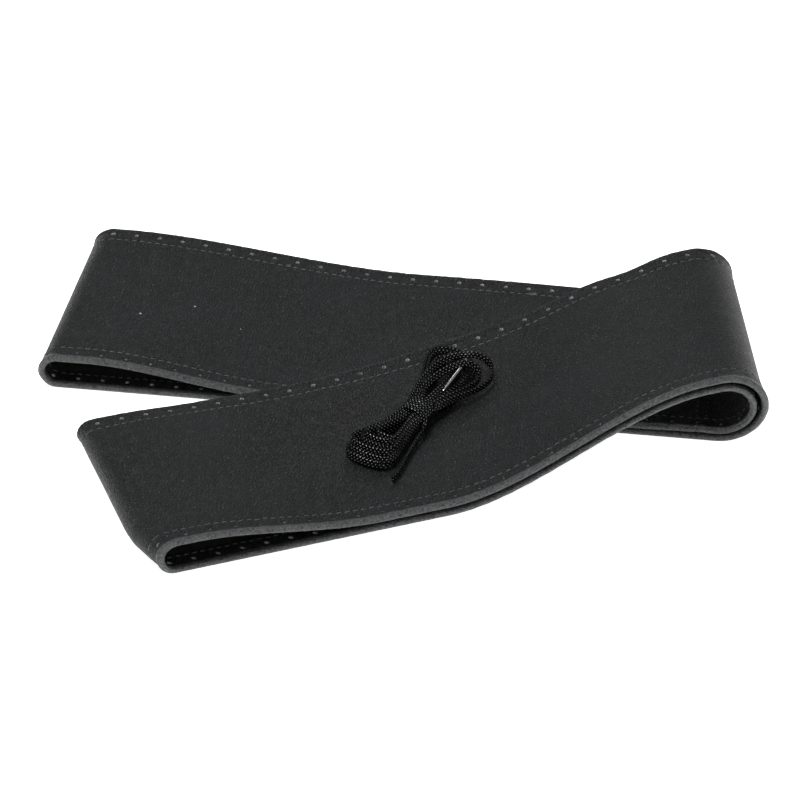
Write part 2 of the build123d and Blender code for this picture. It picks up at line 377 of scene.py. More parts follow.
    def place_upper(self, run: np.ndarray, across: np.ndarray, depth: np.ndarray) -> np.ndarray:
        """Lay points of the upper stretch: top layer, front loop, bottom layer."""
        radius = self.between_edges(self.front_loop, across) / 2
        skewed = np.interp(across / MILLI, self.end_places, self.end_shifts) * MILLI
        start = self.upper_length - radius + skewed
        flat = start - self.fold_end
        arc = pi * (radius - self.half_stack)
        back = np.clip((run - flat - arc) / (self.length(Stretch.UPPER) - flat - arc), 0, 1)
        turn = pi - pi * np.clip((run - flat) / arc, 0, 1)
        top = self.upper_middle(self.fold_end + np.minimum(run, flat), across, 1)
        bottom = self.upper_middle(start - back * flat, across, 0)
        out = -np.sin(turn)[:, None] * self.upper_along
        out[:, 2] = -np.cos(turn)
        centre = self.upper_middle(start, across, 0)
        centre[:, 2] += radius - self.half_stack
        loop = centre + out * (radius - self.half_stack)[:, None]
        points = np.where((run < flat)[:, None], top, loop)
        points = np.where((back > 0)[:, None], bottom, points)
        return points + out * depth[:, None]

    def place_fold(
        self, run: np.ndarray, across: np.ndarray, depth: np.ndarray, side: int
    ) -> np.ndarray:
        """Lay points of a fold stretch, side 1 for its outer layer and -1 for its inner one."""
        along = self.fold_begin + run
        past = along * cos(self.skew) + across * sin(self.skew)
        turn = np.clip(past / self.fold_radius, 0, pi)
        out = np.sin(turn)[:, None] * self.toward_fold
        out[:, 2] = -np.cos(turn)
        sideways = across * cos(self.skew) - along * sin(self.skew)
        points = sideways[:, None] * self.ruling + out * self.fold_radius
        points += np.minimum(past, 0.0)[:, None] * self.toward_fold
        points[:, 2] += self.half_stack + self.fold_radius
        beyond = self.upper_middle(along - self.fold_path, across, 0)
        points = np.where((past > pi * self.fold_radius)[:, None], beyond, points)
        return points + out * (side * depth)[:, None]

    def place(
        self, stretch: Stretch, run: np.ndarray, across: np.ndarray, depth: np.ndarray
    ) -> np.ndarray:
        """Lay points of the flat band on the folded shape.

        Args:
            stretch: The stretch that they belong to.
            run: Distances along it.
            across: Distances from the band's middle line.
            depth: Distances out from the middle of the double strip.

        Returns:
            The points in the row frame.
        """
        run, across, depth = (np.asarray(v, float) for v in (run, across, depth))
        if stretch is Stretch.LOWER:
            points = self.place_lower(run, across, depth)
        elif stretch is Stretch.UPPER:
            points = self.place_upper(run, across, depth)
        else:
            side = 1 if stretch is Stretch.FOLD_OUTER else -1
            points = self.place_fold(run, across, depth, side)
        return points + np.array(self.shift)

    @classmethod
    def from_record(cls, record: dict) -> "FoldedBand":
        """Set the band out so that its fold line lies on the record's hinge."""
        hinge = next(j for j in record["behaviour"]["joints"] if j["name"] == "fold_hinge")
        plain = cls(shift=(0.0, 0.0, 0.0))
        line = plain.toward_fold * (plain.fold_radius + plain.half_stack)
        place = np.array(hinge["pos_m"]) - line
        return cls(shift=(float(place[0]), float(place[1]), 0.0))


# ---------------------------------------------------------------------------------------
# Materials
# ---------------------------------------------------------------------------------------


class Nodes:
    """A short way to add and join the nodes of one tree."""

    def __init__(self, tree: bpy.types.NodeTree) -> None:
        """Work on a node tree."""
        self.tree = tree

    def feed(self, socket: bpy.types.NodeSocket, value: object) -> None:
        """Join a socket to another one, or set its value."""
        if isinstance(value, bpy.types.NodeSocket):
            self.tree.links.new(value, socket)
        else:
            socket.default_value = value

    def add(self, kind: str, inputs: dict | None = None, **settings: object) -> bpy.types.Node:
        """Add a node.

        Args:
            kind: The node's type, without its ShaderNode prefix.
            inputs: Values or sockets for its inputs, by name or number.
            settings: Its own properties.

        Returns:
            The node.
        """
        node = self.tree.nodes.new(f"ShaderNode{kind}")
        for name, value in settings.items():
            setattr(node, name, value)
        for name, value in (inputs or {}).items():
            self.feed(node.inputs[name], value)
        return node

    def math(self, operation: str, *values: object) -> bpy.types.NodeSocket:
        """Add a Math node and give its result."""
        node = self.add("Math", dict(enumerate(values)), operation=operation)
        return node.outputs[0]

    def ramp(self, value: bpy.types.NodeSocket, low: float, high: float) -> bpy.types.NodeSocket:
        """Ease a value from 0 at low to 1 at high."""
        inputs = {"Value": value, "From Min": low, "From Max": high}
        node = self.add("MapRange", inputs, interpolation_type="SMOOTHSTEP")
        return node.outputs["Result"]

    def mix(self, share: object, first: object, second: object) -> bpy.types.NodeSocket:
        """Mix two colours."""
        node = self.add("Mix", {"Factor": share}, data_type="RGBA")
        self.feed(node.inputs[6], first)
        self.feed(node.inputs[7], second)
        return node.outputs[2]

    def group(self, tree: bpy.types.NodeTree, inputs: dict) -> bpy.types.Node:
        """Place a node group."""
        node = self.tree.nodes.new("ShaderNodeGroup")
        node.node_tree = tree
        for name, value in inputs.items():
            self.feed(node.inputs[name], value)
        return node

    def bump(
        self, height: object, distance: float, strength: float = 1.0, under: object = None
    ) -> bpy.types.NodeSocket:
        """Raise a surface, on top of another bump where one is given.

        Args:
            height: The height's socket.
            distance: How far a height of 1 raises it, in metres.
            strength: How strongly it shows.
            under: The bump that lies below.

        Returns:
            The bumped normal.
        """
        inputs = {"Height": height, "Strength": strength, "Distance": distance}
        if under is not None:
            inputs["Normal"] = under
        return self.add("Bump", inputs).outputs["Normal"]


def new_group(name: str, inputs: dict[str, str], outputs: dict[str, str]) -> tuple:
    """Make an empty shader node group.

    Args:
        name: The effect's name.
        inputs: Socket kinds by name, such as Float or Vector.
        outputs: Socket kinds by name.

    Returns:
        The group's tree, its Nodes helper, its input node and its output node.
    """
    tree = bpy.data.node_groups.new(name, "ShaderNodeTree")
    for sockets, way in ((inputs, "INPUT"), (outputs, "OUTPUT")):
        for label, kind in sockets.items():
            tree.interface.new_socket(label, in_out=way, socket_type=f"NodeSocket{kind}")
    given = tree.nodes.new("NodeGroupInput")
    result = tree.nodes.new("NodeGroupOutput")
    return tree, Nodes(tree), given, result


class Effects:
    """Effects that several finishes share, each a node group built once."""

    def __init__(self) -> None:
        """Build every group."""
        self.grain = self.build_grain()
        self.creases = self.build_creases()
        self.specks = self.build_specks()
        self.tone = self.build_tone()

    def build_grain(self) -> bpy.types.NodeTree:
        """Fine leather grain: small rounded cells parted by valleys."""
        tree, nodes, given, result = new_group(
            "Leather grain", {"Vector": "Vector", "Cells": "Float"}, {"Height": "Float"}
        )
        place, cells = given.outputs["Vector"], given.outputs["Cells"]
        wobble = nodes.add("TexNoise", {"Vector": place, "Scale": 420.0, "Detail": 2.0})
        moved = nodes.add(
            "VectorMath", {0: wobble.outputs["Color"], "Scale": 0.0009}, operation="SCALE"
        )
        bent = nodes.add("VectorMath", {0: place, 1: moved.outputs[0]}, operation="ADD")
        cell = nodes.add(
            "TexVoronoi",
            {"Vector": bent.outputs[0], "Scale": cells},
            feature="DISTANCE_TO_EDGE",
        )
        rounded = nodes.ramp(cell.outputs["Distance"], 0.0, 0.35)
        fine = nodes.add("TexNoise", {"Vector": place, "Scale": 2600.0, "Detail": 3.0})
        soft = nodes.math("MULTIPLY", fine.outputs["Fac"], 0.5)
        tree.links.new(nodes.math("ADD", rounded, soft), result.inputs["Height"])
        return tree

    def build_creases(self) -> bpy.types.NodeTree:
        """Branching creases where leather is gathered, as beside a hem."""
        tree, nodes, given, result = new_group(
            "Creases", {"Vector": "Vector", "Size": "Float"}, {"Height": "Float"}
        )
        place, size = given.outputs["Vector"], given.outputs["Size"]
        ridge = nodes.add(
            "TexNoise",
            {"Vector": place, "Scale": size, "Detail": 5.0, "Roughness": 0.62},
            noise_type="RIDGED_MULTIFRACTAL",
            normalize=True,
        )
        tree.links.new(ridge.outputs["Fac"], result.inputs["Height"])
        return tree

    def build_specks(self) -> bpy.types.NodeTree:
        """Scattered specks of dust."""
        tree, nodes, given, result = new_group(
            "Dust specks",
            {"Vector": "Vector", "Scale": "Float", "Share": "Float"},
            {"Mask": "Float"},
        )
        cell = nodes.add(
            "TexVoronoi", {"Vector": given.outputs["Vector"], "Scale": given.outputs["Scale"]}
        )
        chance = nodes.add("SeparateColor", {"Color": cell.outputs["Color"]})
        kept = nodes.math("LESS_THAN", chance.outputs[0], given.outputs["Share"])
        reach = nodes.math("MULTIPLY_ADD", chance.outputs[1], 0.04, 0.02)
        near = nodes.math("LESS_THAN", cell.outputs["Distance"], reach)
        tree.links.new(nodes.math("MULTIPLY", kept, near), result.inputs["Mask"])
        return tree

    def build_tone(self) -> bpy.types.NodeTree:
        """Slow uneven tone, as dye takes on a hide."""
        tree, nodes, given, result = new_group(
            "Dye tone", {"Vector": "Vector", "Scale": "Float"}, {"Tone": "Float"}
        )
        place, scale = given.outputs["Vector"], given.outputs["Scale"]
        slow = nodes.add("TexNoise", {"Vector": place, "Scale": scale, "Detail": 3.0})
        tree.links.new(nodes.ramp(slow.outputs["Fac"], 0.3, 0.7), result.inputs["Tone"])
        return tree


def new_material(name: str) -> tuple[bpy.types.Material, Nodes, bpy.types.Node]:
    """Make a material with one Principled shader.

    Args:
        name: The finish's name.

    Returns:
        The material, its Nodes helper and its shader.
    """
    material = bpy.data.materials.new(name)
    material.use_nodes = True
    tree = material.node_tree
    tree.nodes.clear()
    shader = tree.nodes.new("ShaderNodeBsdfPrincipled")
    output = tree.nodes.new("ShaderNodeOutputMaterial")
    tree.links.new(shader.outputs["BSDF"], output.inputs["Surface"])
    return material, Nodes(tree), shader


def grey(value: float, blue: float = 0.0) -> tuple[float, float, float, float]:
    """A grey, with a little more blue than red."""
    return (value * (1 - blue), value, value * (1 + blue), 1.0)


@dataclass(frozen=True)
class GrainLeather:
    """Smooth, fine-grained charcoal leather, with creased hems, edges lightened by wear and by a
    painted highlight, and a painted highlight on its grain crests.
    """

    name: str = "Charcoal grain leather"
    dark: float = 0.004
    light: float = 0.008
    # Light colour of the grain crests: a painted highlight, the sparkle of light on the grain.
    crest_highlight: float = 0.08
    crackle: float = 0.09
    # Light colour of the bead: partly wear from rubbing, partly a painted highlight along the
    # rounded edge.
    rubbed_and_highlit: float = 0.1
    blue: float = 0.09
    roughness: float = 0.5
    specular: float = 0.2
    cells: float = 800.0
    grain_depth: float = 0.00035
    crease_depth: float = 0.00045
    wrinkle_depth: float = 0.0014

    def build(self, effects: Effects) -> bpy.types.Material:
        """Build the material."""
        material, nodes, shader = new_material(self.name)
        place = nodes.add("TexCoord").outputs["Object"]
        edge = nodes.add("Attribute", attribute_name="from_edge").outputs["Fac"]
        hem = nodes.math("SUBTRACT", 1.0, nodes.ramp(edge, 0.0085, 0.0125))
        side = nodes.add("Attribute", attribute_name="across").outputs["Fac"]
        far = nodes.math("MULTIPLY", nodes.ramp(side, -0.01, 0.01), 0.0007)
        from_bead = nodes.math("ADD", edge, far)
        # Mask along the bead: wear from rubbing, and a painted highlight where the rounded edge
        # catches the light.
        rubbed_and_highlit = nodes.math("SUBTRACT", 1.0, nodes.ramp(from_bead, 0.0012, 0.003))

        tone = nodes.group(effects.tone, {"Vector": place, "Scale": 28.0}).outputs["Tone"]
        dyed = nodes.mix(tone, grey(self.dark, self.blue), grey(self.light, self.blue))
        grain = nodes.group(effects.grain, {"Vector": place, "Cells": self.cells})
        # Lighten the grain crests: painted highlight standing in for light caught by the grain.
        raised = nodes.ramp(grain.outputs["Height"], 1.17, 1.4)
        dyed = nodes.mix(raised, dyed, grey(self.crest_highlight, self.blue))
        scuff = nodes.add("TexNoise", {"Vector": place, "Scale": 900.0, "Detail": 4.0})
        worn_and_highlit = nodes.math("MULTIPLY", rubbed_and_highlit, nodes.ramp(scuff.outputs["Fac"], 0.1, 0.6))
        crease = nodes.group(effects.creases, {"Vector": place, "Size": 230.0})
        beside = nodes.math("MULTIPLY", nodes.ramp(side, 0.022, 0.034), nodes.ramp(tone, 0.3, 0.8))
        beside = nodes.math("MULTIPLY", beside, nodes.math("SUBTRACT", 1.0, rubbed_and_highlit))
        lines = nodes.math("MULTIPLY", nodes.ramp(crease.outputs["Height"], 0.5, 0.85), beside)
        dyed = nodes.mix(lines, dyed, grey(self.crackle, 0.03))
        # Lighten the bead: wear from rubbing and a painted highlight along the edge.
        colour = nodes.mix(worn_and_highlit, dyed, grey(self.rubbed_and_highlit, 0.02))
        dust = nodes.group(effects.specks, {"Vector": place, "Scale": 95.0, "Share": 0.07})
        colour = nodes.mix(dust.outputs["Mask"], colour, grey(0.42))
        nodes.feed(shader.inputs["Base Color"], colour)

        gathered = nodes.math("MAXIMUM", hem, beside)
        creased = nodes.math("MULTIPLY", crease.outputs["Height"], gathered)
        wrinkle = nodes.group(effects.creases, {"Vector": place, "Size": 85.0})
        fine = nodes.bump(grain.outputs["Height"], self.grain_depth, 0.9)
        folds = nodes.bump(creased, self.crease_depth, 0.6, fine)
        soft = nodes.bump(wrinkle.outputs["Height"], self.wrinkle_depth, 0.5, folds)
        nodes.feed(shader.inputs["Normal"], soft)
        patchy = nodes.math("MULTIPLY_ADD", tone, 0.08, self.roughness - 0.04)
        matte = nodes.math("MULTIPLY_ADD", worn_and_highlit, -0.14, patchy)
        nodes.feed(shader.inputs["Roughness"], matte)
        shader.inputs["Specular IOR Level"].default_value = self.specular
        return material


@dataclass(frozen=True)
class FleshLeather:
    """The napped flesh side, and cut leather."""

    name: str = "Flesh side"
    dark: float = 0.02
    light: float = 0.036
    roughness: float = 0.92

    def build(self, effects: Effects) -> bpy.types.Material:
        """Build the material."""
        material, nodes, shader = new_material(self.name)
        place = nodes.add("TexCoord").outputs["Object"]
        nap = nodes.add("TexNoise", {"Vector": place, "Scale": 1500.0, "Detail": 6.0})
        tone = nodes.group(effects.tone, {"Vector": place, "Scale": 60.0}).outputs["Tone"]
        patches = nodes.math("MULTIPLY", tone, 0.4)
        both = nodes.math("MULTIPLY_ADD", nap.outputs["Fac"], 0.6, patches)
        colour = nodes.mix(both, grey(self.dark, -0.08), grey(self.light, -0.1))
        nodes.feed(shader.inputs["Base Color"], colour)
        nodes.feed(shader.inputs["Normal"], nodes.bump(nap.outputs["Fac"], 0.0002))
        shader.inputs["Roughness"].default_value = self.roughness
        shader.inputs["Specular IOR Level"].default_value = 0.2
        return material


@dataclass(frozen=True)
class PunchedFibreAndHighlight:
    """The pale raw fibres that a punch leaves in the wall of a hole; their light colour is partly
    a painted highlight of the light the rims catch.
    """

    name: str = "Punched hole wall with painted highlight"
    # Light grey: pale fibres, partly a painted highlight on the hole rims.
    colour: float = 0.42

    def build(self, effects: Effects) -> bpy.types.Material:
        """Build the material."""
        material, nodes, shader = new_material(self.name)
        place = nodes.add("TexCoord").outputs["Object"]
        fibre_and_highlight = nodes.add("TexNoise", {"Vector": place, "Scale": 2400.0, "Detail": 4.0})
        uneven = nodes.group(effects.tone, {"Vector": place, "Scale": 130.0}).outputs["Tone"]
        share = nodes.math("MULTIPLY", nodes.ramp(fibre_and_highlight.outputs["Fac"], 0.3, 0.65), uneven)
        # Pale colour in the hole wall: fibres, and a painted highlight of the lit rims.
        colour = nodes.mix(share, grey(self.colour * 0.35), grey(self.colour))
        nodes.feed(shader.inputs["Base Color"], colour)
        nodes.feed(shader.inputs["Normal"], nodes.bump(fibre_and_highlight.outputs["Fac"], 0.00015))
        shader.inputs["Roughness"].default_value = 0.85
        return material


@dataclass(frozen=True)
class Thread:
    """Twisted sewing thread."""

    name: str = "Sewing thread"
    colour: float = 0.085
    roughness: float = 0.4

    def build(self, effects: Effects) -> bpy.types.Material:
        """Build the material."""
        material, nodes, shader = new_material(self.name)
        place = nodes.add("TexCoord").outputs["Object"]
        twist = nodes.add("TexNoise", {"Vector": place, "Scale": 3200.0, "Detail": 2.0})
        tone = nodes.group(effects.tone, {"Vector": place, "Scale": 90.0}).outputs["Tone"]
        colour = nodes.mix(tone, grey(self.colour * 0.6, 0.03), grey(self.colour, 0.03))
        nodes.feed(shader.inputs["Base Color"], colour)
        nodes.feed(shader.inputs["Normal"], nodes.bump(twist.outputs["Fac"], 0.0001))
        shader.inputs["Roughness"].default_value = self.roughness
        return material


@dataclass(frozen=True)
class Tape:
    """Thin woven backing tape."""

    name: str = "Backing tape"
    colour: float = 0.03

    def build(self, effects: Effects) -> bpy.types.Material:
        """Build the material."""
        material, nodes, shader = new_material(self.name)
        place = nodes.add("TexCoord").outputs["Object"]
        weave = nodes.add("TexChecker", {"Vector": place, "Scale": 2500.0})
        tone = nodes.group(effects.tone, {"Vector": place, "Scale": 200.0}).outputs["Tone"]
        colour = nodes.mix(tone, grey(self.colour * 0.7), grey(self.colour))
        nodes.feed(shader.inputs["Base Color"], colour)
        nodes.feed(shader.inputs["Normal"], nodes.bump(weave.outputs["Fac"], 0.0001))
        shader.inputs["Roughness"].default_value = 0.8
        return material


@dataclass(frozen=True)
class BraidedNylon:
    """Shiny black flat braid, with painted glints on its crests. Its map runs in millimetres,
    along and round the lace.
    """

    name: str = "Black braid"
    colour: float = 0.0005
    # Light colour of the braid's crests: a painted glint.
    ridge: float = 0.3
    roughness: float = 0.12
    relief: float = 0.0007
    pitch_mm: float = 1.6
    width_mm: float = 3.0

    def build(self, effects: Effects) -> bpy.types.Material:
        """Build the material."""
        material, nodes, shader = new_material(self.name)
        uv = nodes.add("UVMap", uv_map="lace").outputs["UV"]
        split = nodes.add("SeparateXYZ", {"Vector": uv})
        along, across = split.outputs["X"], split.outputs["Y"]
        # The plaits slant away from the lace's middle line on both sides, as in a herringbone.
        side = nodes.math("ABSOLUTE", across)
        slanted = nodes.math("ADD", side, along)
        wave = nodes.math("MULTIPLY", slanted, 2 * pi / self.pitch_mm)
        strands = nodes.math("ABSOLUTE", nodes.math("SINE", nodes.math("MULTIPLY", wave, 0.5)))
        columns = nodes.math("MULTIPLY", side, 2 * pi / (self.width_mm / 1.5))
        lengthwise = nodes.math("ABSOLUTE", nodes.math("COSINE", columns))
        height = nodes.math("MULTIPLY", strands, nodes.math("POWER", lengthwise, 0.5))
        # Painted glints: the braid's crests take a light colour.
        colour = nodes.mix(nodes.ramp(height, 0.9, 1.0), grey(self.colour), grey(self.ridge, 0.04))
        nodes.feed(shader.inputs["Base Color"], colour)
        nodes.feed(shader.inputs["Normal"], nodes.bump(height, self.relief))
        place = nodes.add("TexCoord").outputs["Object"]
        tone = nodes.group(effects.tone, {"Vector": place, "Scale": 300.0}).outputs["Tone"]
        valley = nodes.math("MULTIPLY_ADD", height, -0.4, self.roughness + 0.4)
        matte = nodes.math("MULTIPLY_ADD", tone, 0.1, valley)
        nodes.feed(shader.inputs["Roughness"], matte)
        nodes.feed(shader.inputs["Coat Weight"], nodes.ramp(height, 0.78, 1.0))
        shader.inputs["Coat Roughness"].default_value = 0.16
        shader.inputs["Specular IOR Level"].default_value = 0.1
        return material


@dataclass(frozen=True)
class BrightSteel:
    """Polished needle steel with fine draw marks."""

    name: str = "Needle steel"
    colour: float = 0.72

    def build(self, effects: Effects) -> bpy.types.Material:
        """Build the material."""
        material, nodes, shader = new_material(self.name)
        place = nodes.add("TexCoord").outputs["Object"]
        marks = nodes.add("TexNoise", {"Vector": place, "Scale": 1800.0, "Detail": 2.0})
        tone = nodes.group(effects.tone, {"Vector": place, "Scale": 220.0}).outputs["Tone"]
        colour = nodes.mix(tone, grey(self.colour * 0.85), grey(self.colour))
        nodes.feed(shader.inputs["Base Color"], colour)
        rough = nodes.math("MULTIPLY_ADD", marks.outputs["Fac"], 0.12, 0.14)
        nodes.feed(shader.inputs["Roughness"], rough)
        shader.inputs["Metallic"].default_value = 1.0
        return material


class Finishes:
    """Every finish, built once."""

    def __init__(self) -> None:
        """Build the shared effects and the materials."""
        effects = Effects()
        self.grain = GrainLeather().build(effects)
        self.flesh = FleshLeather().build(effects)
        self.fibre_and_highlight = PunchedFibreAndHighlight().build(effects)
        self.thread = Thread().build(effects)
        self.tape = Tape().build(effects)
        self.braid = BraidedNylon().build(effects)
        self.steel = BrightSteel().build(effects)


# ---------------------------------------------------------------------------------------
# Leather
# ---------------------------------------------------------------------------------------


@dataclass(frozen=True)
class Undulation:
    """Irregular soft waves over the band, as a sum of plain waves."""

    seed: int
    wavelength: tuple[float, float]
    heading: tuple[float, float]
    count: int = 14

    def heights(self, run: np.ndarray, across: np.ndarray) -> np.ndarray:
        """Wave heights, mostly within -1 to 1.

        Args:
            run: Distances round the band.
            across: Distances from its middle line.

        Returns:
            One height for each point.
        """
        dice = np.random.default_rng(self.seed)
        total = np.zeros_like(run)
        for _ in range(self.count):
            length = dice.uniform(*self.wavelength)
            turn = dice.uniform(*self.heading)
            phase = dice.uniform(0, 2 * pi)
            wave = (run * cos(turn) + across * sin(turn)) * 2 * pi / length
            total += np.sin(wave + phase)
        return total / np.sqrt(self.count)


@dataclass
class HemmedLeather:
    """The leather band: outer face, turned edges, hems and flesh side, with its holes."""

    band: FoldedBand
    finishes: Finishes
    hem_width: float = 10.0 * MILLI
    bend_allowance: float = 2.0 * MILLI
    hole_inset: float = 4.5 * MILLI
    hole_radius: float = 0.6 * MILLI
    hole_rim: float = 0.85 * MILLI
    hole_dish: float = 0.2 * MILLI
    stitch_inset: float = 8.0 * MILLI
    stitch_groove: float = 0.22 * MILLI
    steps_per_pitch: int = 10
    bead_steps: int = 8
    bead_swell: float = 0.5 * MILLI
    flare: float = 0.9 * MILLI
    flare_width: float = 9.0 * MILLI
    pucker: float = 0.1 * MILLI
    sway: float = 0.45 * MILLI
    pucker_waves: Undulation = Undulation(3, (3.0 * MILLI, 9.0 * MILLI), (-0.5, 0.5))
    sway_waves: Undulation = Undulation(5, (45.0 * MILLI, 120.0 * MILLI), (-1.2, 1.2))
    free_share: float = 0.47
    free_ease: float = 30.0 * MILLI
    parted_inside: float = 0.6
    seam_run: float = 26.98 * MILLI
    seam_ridge: float = 0.35 * MILLI
    row_gap: float = 0.9 * MILLI
    profile: list = field(default_factory=list)

    def __post_init__(self) -> None:
        """Work out the profile across the band."""
        self.profile = self.cross_profile()

    @property
    def opened_width(self) -> float:
        """Width of the leather with both hems opened out."""
        return self.band.strip_width + 2 * (self.hem_width + self.bend_allowance)

    def side_rows(self) -> list[float]:
        """Rows across one hem, from its bead to its cut edge, as distances from the edge."""
        inset, step = self.hole_inset, self.row_gap
        holes = [inset + step * i for i in (-2, -1, 0, 1, 2)]
        seam = [self.stitch_inset + 0.5 * MILLI * i for i in (-2, -1, 0, 1, 2)]
        bead_end = 1.9 * MILLI
        return [bead_end, *holes, *seam, self.hem_width - 0.3 * MILLI]

    def cross_profile(self) -> list[tuple[float, float, str, float]]:
        """The closed outline of the leather across the band.

        Returns:
            For each row its across, its depth, the face that it starts, and its distance from
            the folded edge.
        """
        half, top = self.band.half_width, self.band.half_stack
        low = self.band.hem_gap / 2
        radius = self.band.leather
        rows = self.side_rows()
        outer = [(half - r, top, "grain", r) for r in rows]
        bare = half - self.hem_width - 1.2 * MILLI
        middle = [(a, top, "grain", half - abs(a)) for a in np.linspace(bare, -bare, 32)]
        bead = []
        for i in range(self.bead_steps + 1):
            turn = pi / 2 - pi * i / self.bead_steps
            across = half - radius + radius * cos(turn)
            around = radius * abs(turn)
            bead.append((across, (top + low) / 2 + radius * sin(turn), "grain", around))
        inner = [(half - r, low, "grain", r) for r in rows]
        cut = half - self.hem_width
        rim = [(cut, low + 0.25 * MILLI, "flesh", 0.02), (cut, top - radius, "flesh", 0.02)]
        flesh = [(a, top - radius, "flesh", 0.04) for a in np.linspace(cut - 1e-3, 0, 12)][:-1]
        far_side = list(reversed(outer)) + bead + inner + rim + flesh
        near_side = [(-a, d, k, e) for a, d, k, e in reversed(far_side)]
        profile = middle[::-1] + far_side + [(0.0, top - radius, "flesh", 0.04)]
        return profile + near_side

    def relief(
        self, ring: np.ndarray, across: np.ndarray, lifted: np.ndarray, seamed: np.ndarray
    ) -> np.ndarray:
        """How far the leather stands out from its plain shape.

        Args:
            ring: Distances round the band.
            across: Distances from its middle line.
            lifted: 1 where the leather is free to sway, 0 where it lies pressed.
            seamed: Distance from the closing seam, or a large number elsewhere.

        Returns:
            Offsets along the depth.
        """
        edge = self.band.half_width - np.abs(across)
        hem = 1 - ease((edge - 8.5 * MILLI) / (3 * MILLI))
        pucker = self.pucker_waves.heights(ring, across)
        sway = self.sway_waves.heights(ring, across)
        body = ease(edge / (16 * MILLI))
        seam = np.exp(-((np.abs(seamed) / (2.2 * MILLI)) ** 4))
        join = np.exp(-((seamed / (0.7 * MILLI)) ** 2))
        offset = self.pucker * hem * pucker * ease(edge / (2 * MILLI))
        offset += self.sway * sway * body * lifted
        offset += self.seam_ridge * seam - 1.2 * self.seam_ridge * join
        near = np.exp(-(((across + self.band.half_width) / self.flare_width) ** 2))
        return offset + self.flare * near * self.parting(ring)

    def parting(self, ring: np.ndarray) -> np.ndarray:
        """How far the near edges of the two layers stand apart round the band, 0 to 1."""
        inner = self.band.length(Stretch.LOWER)
        fold = self.band.length(Stretch.FOLD_INNER)
        top = inner + fold + self.band.length(Stretch.UPPER)
        inside = ease((ring - inner) / (25 * MILLI)) * ease((inner + fold - ring) / (25 * MILLI))
        rise = ease((ring - top + 200 * MILLI) / (70 * MILLI))
        fall = 1 - ease((ring - top - 25 * MILLI) / (35 * MILLI))
        return self.parted_inside * inside + rise * fall

    def groove(self, across: np.ndarray, depth: np.ndarray) -> np.ndarray:
        """How far the sewing and the turned edge shape each face."""
        edge = self.band.half_width - np.abs(across)
        top, low = self.band.half_stack, self.band.hem_gap / 2
        face = np.where(depth > (top + low) / 2, -1.0, 1.0)
        on_face = (np.abs(depth - top) < 1e-6) | (np.abs(depth - low) < 1e-6)
        sewn = np.exp(-(((edge - self.stitch_inset) / (0.55 * MILLI)) ** 2))
        swell = np.exp(-(((edge - 1.3 * MILLI) / (1.2 * MILLI)) ** 2))
        outer = depth > (top + low) / 2
        return on_face * (face * self.stitch_groove * sewn + outer * self.bead_swell * swell)

    def build_stretch(self, stretch: Stretch) -> bpy.types.Object:
        """Make one stretch of the leather, closed at its two ends.

        Args:
            stretch: Which stretch.

        Returns:
            The mesh object, with its finishes.
        """
        columns = self.band.pitches(stretch) * self.steps_per_pitch + 1
        rows = len(self.profile)
        step = self.band.hole_pitch / self.steps_per_pitch
        across0 = np.array([p[0] for p in self.profile])
        depth0 = np.array([p[1] for p in self.profile])
        edge0 = np.array([p[3] for p in self.profile])
        kind0 = [p[2] for p in self.profile]
        run = np.repeat(np.arange(columns) * step, rows)
        across = np.tile(across0, columns)
        depth = np.tile(depth0, columns)
        edge = np.tile(edge0, columns)

        solid = np.ones((columns - 1, rows), bool)
        extra_points, extra_faces = [], []
        count = columns * rows
        for row, far_row in self.hole_rows(across0, depth0):
            for pitch in range(self.band.pitches(stretch)):
                column = pitch * self.steps_per_pitch + self.steps_per_pitch // 2
                points, faces = self.punch(
                    column, row, far_row, step, across0, depth0, rows, count
                )
                extra_points += points
                extra_faces += faces
                count += len(points)
                for r in (row, far_row):
                    solid[column - 2 : column + 2, r - 2 : r + 2] = False

        i, r = np.nonzero(solid)
        after = (r + 1) % rows
        quads = np.stack(
            [i * rows + r, i * rows + after, (i + 1) * rows + after, (i + 1) * rows + r], -1
        )
        kinds = np.array([0 if kind0[k] == "grain" else 1 for k in r])
        caps = [list(range(rows))[::-1], [(columns - 1) * rows + k for k in range(rows)]]
        faces = quads.tolist() + [f for f, _ in extra_faces] + caps
        marks = kinds.tolist() + [m for _, m in extra_faces] + [1, 1]

        extra = np.array(extra_points)
        run = np.concatenate([run, extra[:, 0]])
        across = np.concatenate([across, extra[:, 1]])
        depth = np.concatenate([depth, extra[:, 2]])
        edge = np.concatenate([edge, np.full(len(extra), self.hole_inset)])
        ring = self.band.round_band(stretch, run)
        lifted, seamed = self.freedom(stretch, run)
        shaped = depth + self.groove(across, depth) + self.relief(ring, across, lifted, seamed)
        points = self.band.place(stretch, run, across, shaped)

        used = np.unique(np.concatenate([np.array(f) for f in faces]))
        renumber = np.full(len(points), -1)
        renumber[used] = np.arange(len(used))
        faces = [renumber[f].tolist() for f in faces]
        obj = new_mesh(f"leather_{stretch.value}", points[used], faces)
        set_values(obj.data, "from_edge", edge[used])
        set_values(obj.data, "across", across[used])
        for material in (self.finishes.grain, self.finishes.flesh, self.finishes.fibre_and_highlight):
            obj.data.materials.append(material)
        obj.data.polygons.foreach_set("material_index", marks)
        finish_mesh(obj, 50.0)
        return obj

    def hole_rows(self, across: np.ndarray, depth: np.ndarray) -> list[tuple[int, int]]:
        """Rows of the profile at a hole's middle, on the outer face and on the hem."""
        pairs = []
        place = self.band.half_width - self.hole_inset
        for side in (-1, 1):
            near = np.abs(across - side * place) < 1e-6
            outer = int(np.nonzero(near & (depth > self.band.half_stack - 1e-6))[0][0])
            inner = int(np.nonzero(near & (depth < self.band.hem_gap))[0][0])
            pairs.append((outer, inner))
        return pairs

